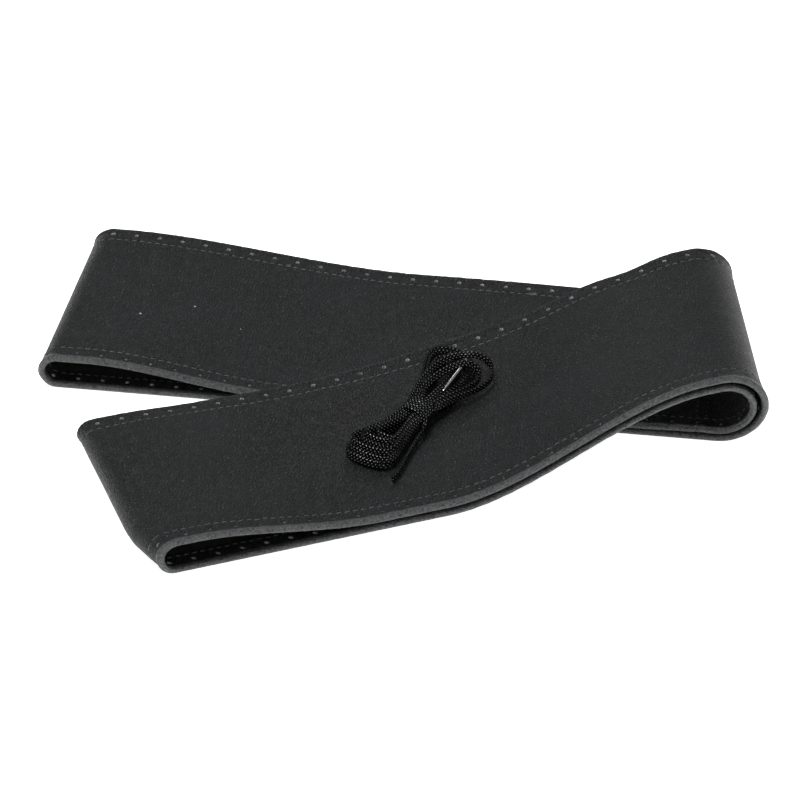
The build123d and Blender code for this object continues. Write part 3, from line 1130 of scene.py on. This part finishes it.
    def punch(
        self,
        column: int,
        outer_row: int,
        inner_row: int,
        step: float,
        across: np.ndarray,
        depth: np.ndarray,
        rows: int,
        count: int,
    ) -> tuple[list, list]:
        """Points and faces of one hole, from the outer face through the hem.

        Args:
            column: The hole's middle column.
            outer_row: Its middle row on the outer face.
            inner_row: Its middle row on the hem.
            step: Distance between columns.
            across: Across of each row.
            depth: Depth of each row.
            rows: Number of rows.
            count: Number of points made so far.

        Returns:
            The new points, and the new faces with their finish.
        """
        square = [(-2, w) for w in (-2, -1, 0, 1)] + [(u, 2) for u in (-2, -1, 0, 1)]
        square += [(2, w) for w in (2, 1, 0, -1)] + [(u, -2) for u in (2, 1, 0, -1)]
        sides = len(square)
        points, faces, rings = [], [], []
        for row, way in ((outer_row, -1.0), (inner_row, 1.0)):
            middle = across[row]
            border = [(column + u) * rows + row + w for u, w in square]
            place = [(u * step, across[row + w] - middle) for u, w in square]
            turns = [np.arctan2(a, q) for q, a in place]
            levels = ((self.hole_rim, 0.0), (self.hole_radius, way * self.hole_dish))
            starts = []
            for radius, dip in levels:
                starts.append(count + len(points))
                for turn in turns:
                    q = column * step + radius * cos(turn)
                    points.append((q, middle + radius * sin(turn), depth[row] + dip))
            for k in range(sides):
                n = (k + 1) % sides
                outer, inner = starts[0], starts[1]
                faces.append(([border[k], border[n], outer + n, outer + k], 0))
                # On the near edge's outer face the rim ring takes the grain finish instead of the
                # pale hole wall with its painted highlight.
                dull = way < 0 and middle < 0
                faces.append(([outer + k, outer + n, inner + n, inner + k], 0 if dull else 2))
            rings.append((starts[1], turns))
        first, second = rings
        for k in range(sides):
            n = (k + 1) % sides
            pair = []
            for j in (k, n):
                gap = [abs(np.angle(np.exp(1j * (t - first[1][j])))) for t in second[1]]
                pair.append(int(np.argmin(gap)))
            ring = [first[0] + k, first[0] + n, second[0] + pair[1], second[0] + pair[0]]
            faces.append((ring, 2))
        return points, faces

    def freedom(self, stretch: Stretch, run: np.ndarray) -> tuple[np.ndarray, np.ndarray]:
        """Where the leather may sway, and how far each point is from the closing seam."""
        seamed = np.full_like(run, 1.0)
        if stretch is Stretch.FOLD_INNER:
            seamed = run - self.seam_run
        length = self.band.length(stretch)
        inside = ease(run / self.free_ease) * ease((length - run) / self.free_ease)
        if stretch is Stretch.UPPER:
            return inside * (run < length * self.free_share), seamed
        if stretch is Stretch.LOWER:
            return inside * (run > length * (1 - self.free_share)), seamed
        return 0 * run, seamed

    def top_sway(self, along: np.ndarray, across: np.ndarray) -> np.ndarray:
        """How far the upper half's top face stands out at places past the fold."""
        run = along - self.band.fold_end
        lifted, seamed = self.freedom(Stretch.UPPER, run)
        ring = self.band.round_band(Stretch.UPPER, run)
        return self.relief(ring, across, lifted, seamed)

    def build(self) -> dict[Stretch, bpy.types.Object]:
        made = {stretch: self.build_stretch(stretch) for stretch in Stretch}
        lower, upper = made[Stretch.LOWER], made[Stretch.UPPER]
        outer, inner = made[Stretch.FOLD_OUTER], made[Stretch.FOLD_INNER]
        for obj, half in ((lower, "lower"), (upper, "upper")):
            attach(obj, f"{half}_half")
            parts = ("bottom_panel", "top_panel", "end_loop", "near_hem", "far_hem")
            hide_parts(*(f"{half}_{part}" for part in parts))
        for obj, layer in ((outer, "outer"), (inner, "inner")):
            across_fold(obj)
            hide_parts(f"lower_fold_{layer}", f"upper_fold_{layer}")
        for stretch, obj in made.items():
            self.band.length(stretch)
            log.info("%s: %d faces", obj.name, len(obj.data.polygons))
        return made


def across_fold(obj: bpy.types.Object) -> None:
    """Bake obj's place and turn into its mesh; obj lies across the fold, from the top of the lower
    half to the upper one.
    """
    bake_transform(obj)


# ---------------------------------------------------------------------------------------
# Sewing
# ---------------------------------------------------------------------------------------


@dataclass
class Stitching:
    """The rows of lockstitch that hold the hems, on the outer face and on the hem."""

    band: FoldedBand
    finishes: Finishes
    leather: HemmedLeather
    per_pitch: int = 3
    length_share: float = 0.84
    radius: float = 0.25 * MILLI
    sides: int = 6
    rings: int = 6

    def capsule(self) -> tuple[np.ndarray, list]:
        """One stitch along X with its ends dipping down, as points and faces."""
        points = []
        for i in range(self.rings):
            share = i / (self.rings - 1) * 2 - 1
            size = self.radius * (1 - 0.75 * abs(share) ** 4)
            drop = -1.5 * self.radius * abs(share) ** 3
            for k in range(self.sides):
                turn = 2 * pi * k / self.sides
                points.append((share / 2, size * cos(turn), size * sin(turn) + drop))
        return np.array(points), tube_faces(self.rings, self.sides)

    def row(self, stretch: Stretch, edge: str) -> bpy.types.Object:
        """Sew one edge of one stretch.

        Args:
            stretch: Which stretch.
            edge: near or far.

        Returns:
            The row of stitches.
        """
        side = -1 if edge == "near" else 1
        shape, shape_faces = self.capsule()
        pitch = self.band.hole_pitch / self.per_pitch
        count = self.band.pitches(stretch) * self.per_pitch
        dice = np.random.default_rng(11 + side)
        run, across, depth, faces = [], [], [], []
        line = side * (self.band.half_width - self.leather.stitch_inset)
        faces_out = ((self.band.half_stack, 1.0), (self.band.hem_gap / 2, -1.0))
        for level, way in faces_out:
            for i in range(count):
                base = len(run) * len(shape)
                slant = dice.normal(0, 0.03)
                centre = (i + 0.5) * pitch
                along = shape[:, 0] * pitch * self.length_share
                run.append(centre + along)
                across.append(line + shape[:, 1] * way + slant * along)
                depth.append(level + way * (shape[:, 2] - 0.12 * MILLI))
                faces += [[base + v for v in f] for f in shape_faces]
        run, across, depth = (np.concatenate(v) for v in (run, across, depth))
        ring = self.band.round_band(stretch, run)
        lifted, seamed = self.leather.freedom(stretch, run)
        depth = depth + self.leather.relief(ring, across, lifted, seamed)
        points = self.band.place(stretch, run, across, depth)
        obj = new_mesh(f"{edge}_stitches_{stretch.value}", points, faces)
        obj.data.materials.append(self.finishes.thread)
        finish_mesh(obj, 70.0)
        return obj

    def build(self) -> None:
        """Sew both edges of every stretch."""
        for edge in ("near", "far"):
            for stretch in Stretch:
                obj = self.row(stretch, edge)
                if stretch in (Stretch.LOWER, Stretch.UPPER):
                    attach(obj, f"{stretch.value}_half")
                    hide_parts(f"{stretch.value}_{edge}_thread")
                else:
                    across_fold(obj)
        log.info("stitches: two edges")


@dataclass
class ClosingSeam:
    """The seam that closes the band: a taped butt join with a row of stitches each side."""

    band: FoldedBand
    finishes: Finishes
    stitching: Stitching
    row_spacing: float = 4.0 * MILLI
    stitch_pitch: float = 3.2 * MILLI
    tape_width: float = 5.0 * MILLI
    tape_depth: tuple[float, float] = (1.2 * MILLI, 0.7 * MILLI)
    tape_reach: float = 36.9 * MILLI

    @property
    def run(self) -> float:
        """Where the seam lies along the fold's inner layer."""
        return self.stitching.leather.seam_run

    def rows(self) -> bpy.types.Object:
        """Sew the two rows across the band."""
        shape, shape_faces = self.stitching.capsule()
        reach = self.band.half_width - 1.5 * MILLI
        count = int(2 * reach / self.stitch_pitch)
        run, across, depth, faces = [], [], [], []
        ridge = self.stitching.leather.seam_ridge
        for side in (-1, 1):
            for i in range(count):
                base = len(run) * len(shape)
                middle = -reach + (i + 0.5) * 2 * reach / count
                run.append(self.run + side * self.row_spacing / 2 + shape[:, 1])
                across.append(middle - shape[:, 0] * self.stitch_pitch * 0.78)
                level = self.band.half_stack + 0.45 * ridge
                depth.append(level + shape[:, 2] + 0.02 * MILLI)
                faces += [[base + v for v in f] for f in shape_faces]
        run, across, depth = (np.concatenate(v) for v in (run, across, depth))
        points = self.band.place(Stretch.FOLD_INNER, run, across, depth)
        obj = new_mesh("closing_seam_stitches", points, faces)
        obj.data.materials.append(self.finishes.thread)
        finish_mesh(obj, 70.0)
        return obj

    def tape(self) -> bpy.types.Object:
        """Lay the backing tape on the flesh side."""
        steps = np.linspace(-self.tape_reach, self.tape_reach, 60)
        half = self.tape_width / 2
        outline = [(-half, 0), (half, 0), (half, 1), (-half, 1)]
        run, across, depth = [], [], []
        for offset, level in outline:
            run.append(np.full_like(steps, self.run + offset))
            across.append(steps)
            depth.append(np.full_like(steps, self.tape_depth[level]))
        stacked = [np.stack(v, 1).ravel() for v in (run, across, depth)]
        points = self.band.place(Stretch.FOLD_INNER, *stacked)
        faces = tube_faces(len(steps), len(outline))
        obj = new_mesh("closing_seam_backing", points, faces)
        obj.data.materials.append(self.finishes.tape)
        finish_mesh(obj)
        return obj

    def build(self) -> None:
        """Make the seam, which lies across the fold."""
        rows, tape = self.rows(), self.tape()
        for obj, node, slot in (
            (rows, "closing_seam_thread", "sewing_thread"),
            (tape, "closing_seam_tape", "seam_tape"),
        ):
            across_fold(obj)
            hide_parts(node)
        log.info("closing seam: two rows of stitches on a tape")


# ---------------------------------------------------------------------------------------
# Lace and needle
# ---------------------------------------------------------------------------------------


@dataclass(frozen=True)
class Loop:
    """One loop of the hank: reach, half width, lean and height of its tip in mm, and tilt.

    The tilt is how far the flat lace leans outward from standing on edge, in degrees.
    """

    reach: float
    half_width: float
    lean: float
    height: float
    tilt: float

    def spots(
        self, origin: float, start: tuple[float, float], end: tuple[float, float], blunt: float
    ) -> list:
        """Places round the loop, from its right side to its left.

        Args:
            origin: How far forward the waist is.
            start: How far to the right of the waist's middle it begins, and how high.
            end: How far to the left it ends, and how high.
            blunt: How near its tip it is widest, from 1 upward.

        Returns:
            Forward, aside, height and tilt of each place.
        """
        out = np.array([0.1, 0.27, 0.45, 0.62, 0.78, 0.92])
        places = [(s, 1, start) for s in out] + [(1.0, 0, start)]
        places += [(s, -1, end) for s in out[::-1]]
        made = []
        for share, side, (column, level) in places:
            forward = origin + (self.reach - origin) * sin(pi / 2 * share)
            width = column * (1 - share) ** 1.5 + self.half_width * sin(pi * share**blunt)
            aside = side * width + self.lean * float(ease(share / 0.9))
            height = level + (self.height - level) * float(ease(share / 0.6))
            tilt = 55.0 + (self.tilt - 55.0) * float(ease(share / 0.45))
            made.append((forward, aside, height, tilt))
        return made


@dataclass
class LaceHank:
    """The lace, wound to and fro in loops, tied round its waist, with its tail hanging out.

    Its own axes run forward to the front loops, aside to the right of them, and up.
    """

    band: FoldedBand
    finishes: Finishes
    leather: HemmedLeather
    waist: tuple[float, float] = (118.0 * MILLI, 11.0 * MILLI)
    turned: float = radians(38.5)
    clearance: float = 0.3 * MILLI
    width: float = 3.0 * MILLI
    thickness: float = 1.1 * MILLI
    length: float = 1.91
    tie: float = -5.0
    away: tuple[float, float] = (0.85, -0.52)
    levels: tuple[float, float, float] = (2.5, 4.1, 5.7)
    column_gap: float = 1.2
    wraps: int = 3
    wrap_size: tuple[float, float, float] = (6.0, 3.6, 4.1)
    wrap_reach: tuple[float, float] = (3.7, -4.5)
    step: float = 0.7 * MILLI

    def front(self) -> list[Loop]:
        """Loops forward of the waist, in the order that they are wound."""
        low = [
            Loop(27.0, 4.8, -3.5, 1.9, 20),
            Loop(29.3, 6.3, -4.2, 1.9, 12),
            Loop(31.6, 7.8, -3.4, 2.0, 24),
            Loop(34.0, 9.4, -4.4, 1.9, 30),
        ]
        middle = [
            Loop(25.6, 4.6, -4.2, 3.8, 25),
            Loop(27.9, 6.1, -4.9, 3.9, 14),
            Loop(30.4, 7.7, -3.9, 4.0, 28),
            Loop(32.6, 9.2, -5.2, 4.1, 22),
        ]
        return low + middle + [Loop(26.0, 4.6, -5.6, 5.8, 30), Loop(28.8, 6.4, -6.2, 6.0, 18)]

    def back(self) -> list[Loop]:
        """Loops behind the waist, in the order that they are wound."""
        return [
            Loop(33.0, 5.0, 2.8, 1.9, 25),
            Loop(36.2, 6.6, 3.6, 1.9, 34),
            Loop(39.4, 8.0, 3.0, 1.9, 28),
            Loop(42.4, 9.6, 3.8, 1.9, 38),
            Loop(31.6, 4.8, 3.6, 3.8, 40),
            Loop(34.8, 6.4, 2.6, 3.9, 25),
            Loop(38.0, 7.8, 4.2, 3.8, 30),
            Loop(40.8, 9.2, 3.2, 3.7, 42),
            Loop(29.0, 4.6, 1.6, 5.8, 34),
            Loop(32.4, 6.0, 4.2, 5.7, 44),
            Loop(35.6, 7.4, 2.4, 5.5, 24),
            Loop(38.6, 8.6, 4.4, 5.3, 36),
        ]

    def open_loops(self) -> list[list]:
        """The two loops that stand open to the right, their far sides over the needle."""
        inner = [
            (2, 5.0, 5.4, 45),
            (9, 7.6, 4.9, 25),
            (15.5, 10.6, 4.2, 15),
            (21.5, 12.2, 3.9, 12),
            (24.8, 11.4, 4.4, 20),
            (25.4, 8.4, 7.4, 40),
            (23.6, 5.2, 9.6, 62),
            (20.4, 1.9, 9.5, 60),
            (15.5, -1.4, 8.6, 50),
            (9.5, -3.8, 7.2, 50),
            (2, -4.2, 6.0, 50),
        ]
        outer = [
            (-1, 6.2, 4.8, 45),
            (6, 8.0, 4.4, 25),
            (13, 12.0, 3.8, 12),
            (19.5, 15.6, 3.3, 5),
            (25.5, 16.6, 3.2, 4),
            (30.3, 13.8, 3.9, 10),
            (31.0, 10.6, 6.6, 30),
            (29.4, 6.8, 9.5, 60),
            (27.6, 2.6, 9.7, 64),
            (24.6, -3.0, 9.0, 55),
            (18.5, -6.2, 7.8, 45),
            (10, -7.2, 6.8, 45),
            (2, -6.0, 5.8, 50),
        ]
        return [inner, outer]

    def route(self) -> tuple[np.ndarray, np.ndarray]:
        """Control places of the whole lace.

        Returns:
            Forward, aside and height of each place in mm, and the way that the lace's width
            lies there.
        """
        columns = [0.65 + self.column_gap * j for j in range(5)]
        tie = self.tie
        path = [(tie - 3.0, 0.4, self.levels[0], 55)]
        for turn in range(12):
            level, nest = divmod(turn, 4)
            height = self.levels[level]
            right, left = (columns[nest], height), (columns[nest], height)
            if turn < 10:
                path += self.front()[turn].spots(tie, right, left, 1.35)
            else:
                path += self.open_loops()[turn - 10]
            path.append((tie, -columns[nest], height, 55))
            after = self.levels[min((turn + 1) // 4, 2)]
            behind = self.back()[turn].spots(-tie, left, (columns[nest + 1], after), 2.1)
            path += [(-f, -a, h, t) for f, a, h, t in behind]
            column = columns[(nest + 1) % 4] if turn < 11 else columns[4]
            path.append((tie, column, after, 55))
        spots = np.array(path)[:, :3]
        tilts = np.radians(np.array(path)[:, 3])
        heading = np.gradient(spots[:, :2], axis=0)
        heading /= np.linalg.norm(heading, axis=1)[:, None]
        normal = np.stack([-heading[:, 1], heading[:, 0], 0 * tilts], -1)
        lean = np.sin(tilts) * np.clip(2 * normal[:, :2] @ np.array(self.away), -1, 1)
        ways = np.cos(tilts)[:, None] * np.array([0, 0, 1.0]) + lean[:, None] * normal

        wide, tall, middle = self.wrap_size
        begin, finish = self.wrap_reach
        count = self.wraps * 12 + 1
        turns = np.radians(np.linspace(40, 30 - 360 * self.wraps, count))
        across = wide * np.cos(turns)
        rise = middle + tall * np.sin(turns)
        along = tie + np.linspace(begin, finish, count)
        round_waist = np.stack([along, across, rise], -1)
        shingle = np.stack([0 * turns + 1, 0.16 * np.cos(turns), 0.16 * np.sin(turns)], -1)

        tail = np.array(
            [
                (-12.0, 7.2, 4.0),
                (-14.5, 7.8, 3.0),
                (-18.0, 8.2, 2.4),
                (-23.0, 8.9, 2.0),
                (-29.0, 9.9, 1.9),
                (-35.0, 11.4, 1.8),
                (-40.0, 12.2, 1.7),
                (-45.5, 12.9, 1.6),
            ]
        )
        edgewise = np.array([(0.7, 0.2, 0.7), (0.4, 0.2, 0.9)] + [(0.1, -0.25, 1.0)] * 6)
        spots = np.concatenate([spots, round_waist, tail])
        return spots, np.concatenate([ways, shingle, edgewise])

    def place(self, spots: np.ndarray) -> np.ndarray:
        """Lay hank places on the upper half.

        Args:
            spots: Forward, aside and height of each, in mm.

        Returns:
            The points in the row frame.
        """
        forward, aside, height = (spots * MILLI).T
        along = self.waist[0] - forward * cos(self.turned) - aside * sin(self.turned)
        across = self.waist[1] + forward * sin(self.turned) - aside * cos(self.turned)
        points = self.band.upper_middle(along, across, 1) + np.array(self.band.shift)
        sway = self.leather.top_sway(along, across)
        points[:, 2] += self.band.half_stack + self.clearance + height + sway
        return points

    def curve_points(self, points: np.ndarray) -> np.ndarray:
        """Points along one open NURBS curve.

        Args:
            points: Its control points.

        Returns:
            Close points along it.
        """
        curve = bpy.data.curves.new("lace_line", "CURVE")
        curve.dimensions = "3D"
        spline = curve.splines.new("NURBS")
        spline.points.add(len(points) - 1)
        for spot, point in zip(spline.points, points):
            spot.co = (*point, 1.0)
        spline.order_u = 3
        spline.use_endpoint_u = True
        spline.resolution_u = 10
        line = bpy.data.objects.new("lace_line", curve)
        bpy.context.collection.objects.link(line)
        bpy.context.view_layer.update()
        ready = line.evaluated_get(bpy.context.evaluated_depsgraph_get())
        mesh = bpy.data.meshes.new_from_object(ready)
        found = np.array([tuple(vertex.co) for vertex in mesh.vertices])
        bpy.data.objects.remove(line)
        bpy.data.curves.remove(curve)
        bpy.data.meshes.remove(mesh)
        return found

    def build(self) -> bpy.types.Object:
        spots, ways = self.route()
        ways = ways / np.linalg.norm(ways, axis=1)[:, None]
        line = self.curve_points(self.place(spots))
        guide = self.curve_points(self.place(spots + ways))
        gone = np.concatenate([[0], np.cumsum(np.linalg.norm(np.diff(line, axis=0), axis=1))])
        stations = np.linspace(0, gone[-1], int(gone[-1] / self.step))
        path = np.stack([np.interp(stations, gone, line[:, k]) for k in range(3)], -1)
        side = np.stack([np.interp(stations, gone, (guide - line)[:, k]) for k in range(3)], -1)
        ahead = np.gradient(path, axis=0)
        ahead /= np.linalg.norm(ahead, axis=1)[:, None]
        side -= np.einsum("ij,ij->i", side, ahead)[:, None] * ahead
        side /= np.linalg.norm(side, axis=1)[:, None]
        face = np.cross(ahead, side)

        turns = np.linspace(0, 2 * pi, 12, endpoint=False)
        wide = np.sign(np.cos(turns)) * np.abs(np.cos(turns)) ** 0.75 * self.width / 2
        deep = np.sign(np.sin(turns)) * np.abs(np.sin(turns)) ** 0.75 * self.thickness / 2
        count, sides = len(path), len(turns)
        points = path[:, None] + side[:, None] * wide[:, None] + face[:, None] * deep[:, None]
        obj = new_mesh("lace", points.reshape(-1, 3), tube_faces(count, sides))
        layer = obj.data.uv_layers.new(name="lace")
        corner = np.array([loop.vertex_index for loop in obj.data.loops])
        place = np.stack([stations[corner // sides], wide[corner % sides]], -1) / MILLI
        layer.data.foreach_set("uv", place.astype(np.float32).ravel())
        obj.data.materials.append(self.finishes.braid)
        finish_mesh(obj, 60.0)
        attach(obj, "lace")
        parts = ("front_loops", "back_loops", "waist_wrap", "tail")
        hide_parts(*(f"lace_{part}" for part in parts))
        log.info("lace: %.3f m", gone[-1])
        return obj


@dataclass(frozen=True)
class Needle:
    """A blunt lacing needle with a long flattened eye."""

    finishes: Finishes
    axis: tuple[float, float, float]
    length: float = 26.0 * MILLI
    radius: float = 0.75 * MILLI
    eye_middle: float = 2.9 * MILLI
    eye_size: tuple[float, float] = (0.4 * MILLI, 1.9 * MILLI)

    def eye_end(self) -> Vector:
        """Where the eye end's middle lies, from the CAD needle's box."""
        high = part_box("needle")[1]
        reach = [self.radius * (1 - a * a) ** 0.5 for a in self.axis]
        return Vector([high[k] - reach[k] for k in range(3)])

    def blank(self) -> bpy.types.Object:
        """Draw the needle out along its stations, eye end first."""
        stations = [
            (0.15, 0.45, 0.35),
            (0.6, 0.86, 0.62),
            (1.6, 1.12, 0.66),
            (2.9, 1.16, 0.64),
            (4.2, 1.1, 0.68),
            (5.4, 0.96, 0.85),
            (7.0, 0.97, 0.95),
            (12.0, 1.0, 1.0),
            (19.0, 0.98, 0.98),
            (22.5, 0.74, 0.74),
            (24.8, 0.48, 0.48),
            (25.7, 0.32, 0.32),
            (26.0, 0.12, 0.12),
        ]
        wide, deep = stations[0][1], stations[0][2]
        bpy.ops.mesh.primitive_circle_add(
            vertices=20, radius=self.radius, fill_type="NGON", location=(0, 0, 0)
        )
        needle = bpy.context.active_object
        needle.name = "lacing_needle"
        bpy.ops.object.mode_set(mode="EDIT")
        bpy.ops.mesh.select_all(action="SELECT")
        bpy.ops.transform.resize(value=(wide, deep, 1.0))
        bpy.ops.transform.translate(value=(0, 0, stations[0][0] * MILLI))
        for before, (place, x_size, y_size) in zip(stations, stations[1:]):
            rise = (place - before[0]) * MILLI
            bpy.ops.mesh.extrude_region_move(TRANSFORM_OT_translate={"value": (0, 0, rise)})
            bpy.ops.transform.resize(value=(x_size / before[1], y_size / before[2], 1.0))
        bpy.ops.mesh.select_all(action="SELECT")
        bpy.ops.mesh.normals_make_consistent(inside=False)
        bpy.ops.object.mode_set(mode="OBJECT")
        return needle

    def build(self) -> bpy.types.Object:
        """Make the needle, cut its eye, and lay it on its line."""
        needle = self.blank()
        bpy.ops.mesh.primitive_cylinder_add(
            vertices=28,
            radius=1.0,
            depth=4 * self.radius,
            location=(0, 0, self.eye_middle),
            rotation=(pi / 2, 0, 0),
        )
        cutter = bpy.context.active_object
        cutter.scale = (self.eye_size[0], self.eye_size[1], 1.0)
        cut = needle.modifiers.new("eye", "BOOLEAN")
        cut.operation = "DIFFERENCE"
        cut.solver = "EXACT"
        cut.object = cutter
        select_only(needle)
        bpy.ops.object.modifier_apply(modifier="eye")
        bpy.data.objects.remove(cutter)
        needle.rotation_euler = (-Vector(self.axis)).to_track_quat("Z", "Y").to_euler()
        needle.location = self.eye_end()
        needle.data.materials.append(self.finishes.steel)
        finish_mesh(needle, 35.0)
        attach(needle, "needle")
        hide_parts("needle")
        return needle


# ---------------------------------------------------------------------------------------
# Studio
# ---------------------------------------------------------------------------------------


@dataclass
class Studio:
    """A pale floor, soft lights and the camera."""

    target: tuple[float, float, float] = (-0.00214, 0.02606, 0.0)
    azimuth: float = 8.1
    elevation: float = 35.0
    distance: float = 2.4
    lens: float = 261.4
    surroundings: float = 0.22
    softboxes: tuple = (
        ("top_left_box", (-0.6, 0.1, 1.75), (1.0, 0.8), 30.0),
        ("front_right_box", (0.5, -1.4, 1.2), (1.0, 0.8), 6.0),
        ("back_box", (-0.1, 1.7, 1.2), (1.4, 0.6), 9.0),
    )

    def floor(self) -> bpy.types.Object:
        """A wide pale floor."""
        bpy.ops.mesh.primitive_plane_add(size=8.0, location=(0, 0, -0.2 * MILLI))
        floor = bpy.context.active_object
        floor.name = "floor"
        material, _, shader = new_material("Pale floor")
        shader.inputs["Base Color"].default_value = grey(0.93)
        shader.inputs["Emission Color"].default_value = grey(1.0)
        shader.inputs["Emission Strength"].default_value = 0.95
        shader.inputs["Roughness"].default_value = 0.9
        shader.inputs["Specular IOR Level"].default_value = 0.1
        floor.data.materials.append(material)
        return floor

    def softbox(self, name: str, place: tuple, size: tuple, power: float) -> None:
        """Hang a rectangular light that faces the object.

        Args:
            name: The light's name.
            place: Where it hangs, in metres.
            size: Its two sides, in metres.
            power: Its power, in watts.
        """
        light = bpy.data.lights.new(name, "AREA")
        light.shape = "RECTANGLE"
        light.size, light.size_y = size
        light.energy = power
        lamp = bpy.data.objects.new(name, light)
        lamp.location = place
        aim = Vector(self.target) - Vector(place)
        lamp.rotation_euler = aim.to_track_quat("-Z", "Y").to_euler()
        bpy.context.collection.objects.link(lamp)

    def lights(self) -> None:
        """Even white surroundings and soft boxes over and beside the object."""
        world = bpy.data.worlds.new("Surroundings")
        world.use_nodes = True
        background = world.node_tree.nodes["Background"]
        background.inputs["Color"].default_value = (0.98, 0.99, 1.0, 1.0)
        background.inputs["Strength"].default_value = self.surroundings
        bpy.context.scene.world = world
        for box in self.softboxes:
            self.softbox(*box)

    def camera(self) -> None:
        """The camera, at its angle to the object."""
        turn, rise = radians(self.azimuth), radians(self.elevation)
        back = Vector((sin(turn) * cos(rise), -cos(turn) * cos(rise), sin(rise)))
        data = bpy.data.cameras.new("camera")
        data.lens = self.lens
        data.sensor_width = 36.0
        data.clip_start, data.clip_end = 0.05, 60.0
        camera = bpy.data.objects.new("camera", data)
        camera.location = Vector(self.target) + back * self.distance
        camera.rotation_euler = (-back).to_track_quat("-Z", "Y").to_euler()
        bpy.context.collection.objects.link(camera)
        bpy.context.scene.camera = camera

    def build(self) -> None:
        """Set up the studio."""
        self.floor()
        self.lights()
        self.camera()
        bpy.context.scene.view_settings.view_transform = "Standard"


def main() -> None:
    """Build the cover on its frame."""
    logging.basicConfig(level=logging.INFO, format="%(message)s")
    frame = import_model()
    Studio().build()
    band = FoldedBand.from_record(frame["record"])
    finishes = Finishes()
    leather = HemmedLeather(band, finishes)
    leather.build()
    stitching = Stitching(band, finishes, leather)
    stitching.build()
    ClosingSeam(band, finishes, stitching).build()
    LaceHank(band, finishes, leather).build()
    draw = next(j for j in frame["record"]["behaviour"]["joints"] if j["name"] == "needle_draw")
    Needle(finishes, axis=tuple(draw["axis"])).build()


if __name__ == "__main__":
    main()
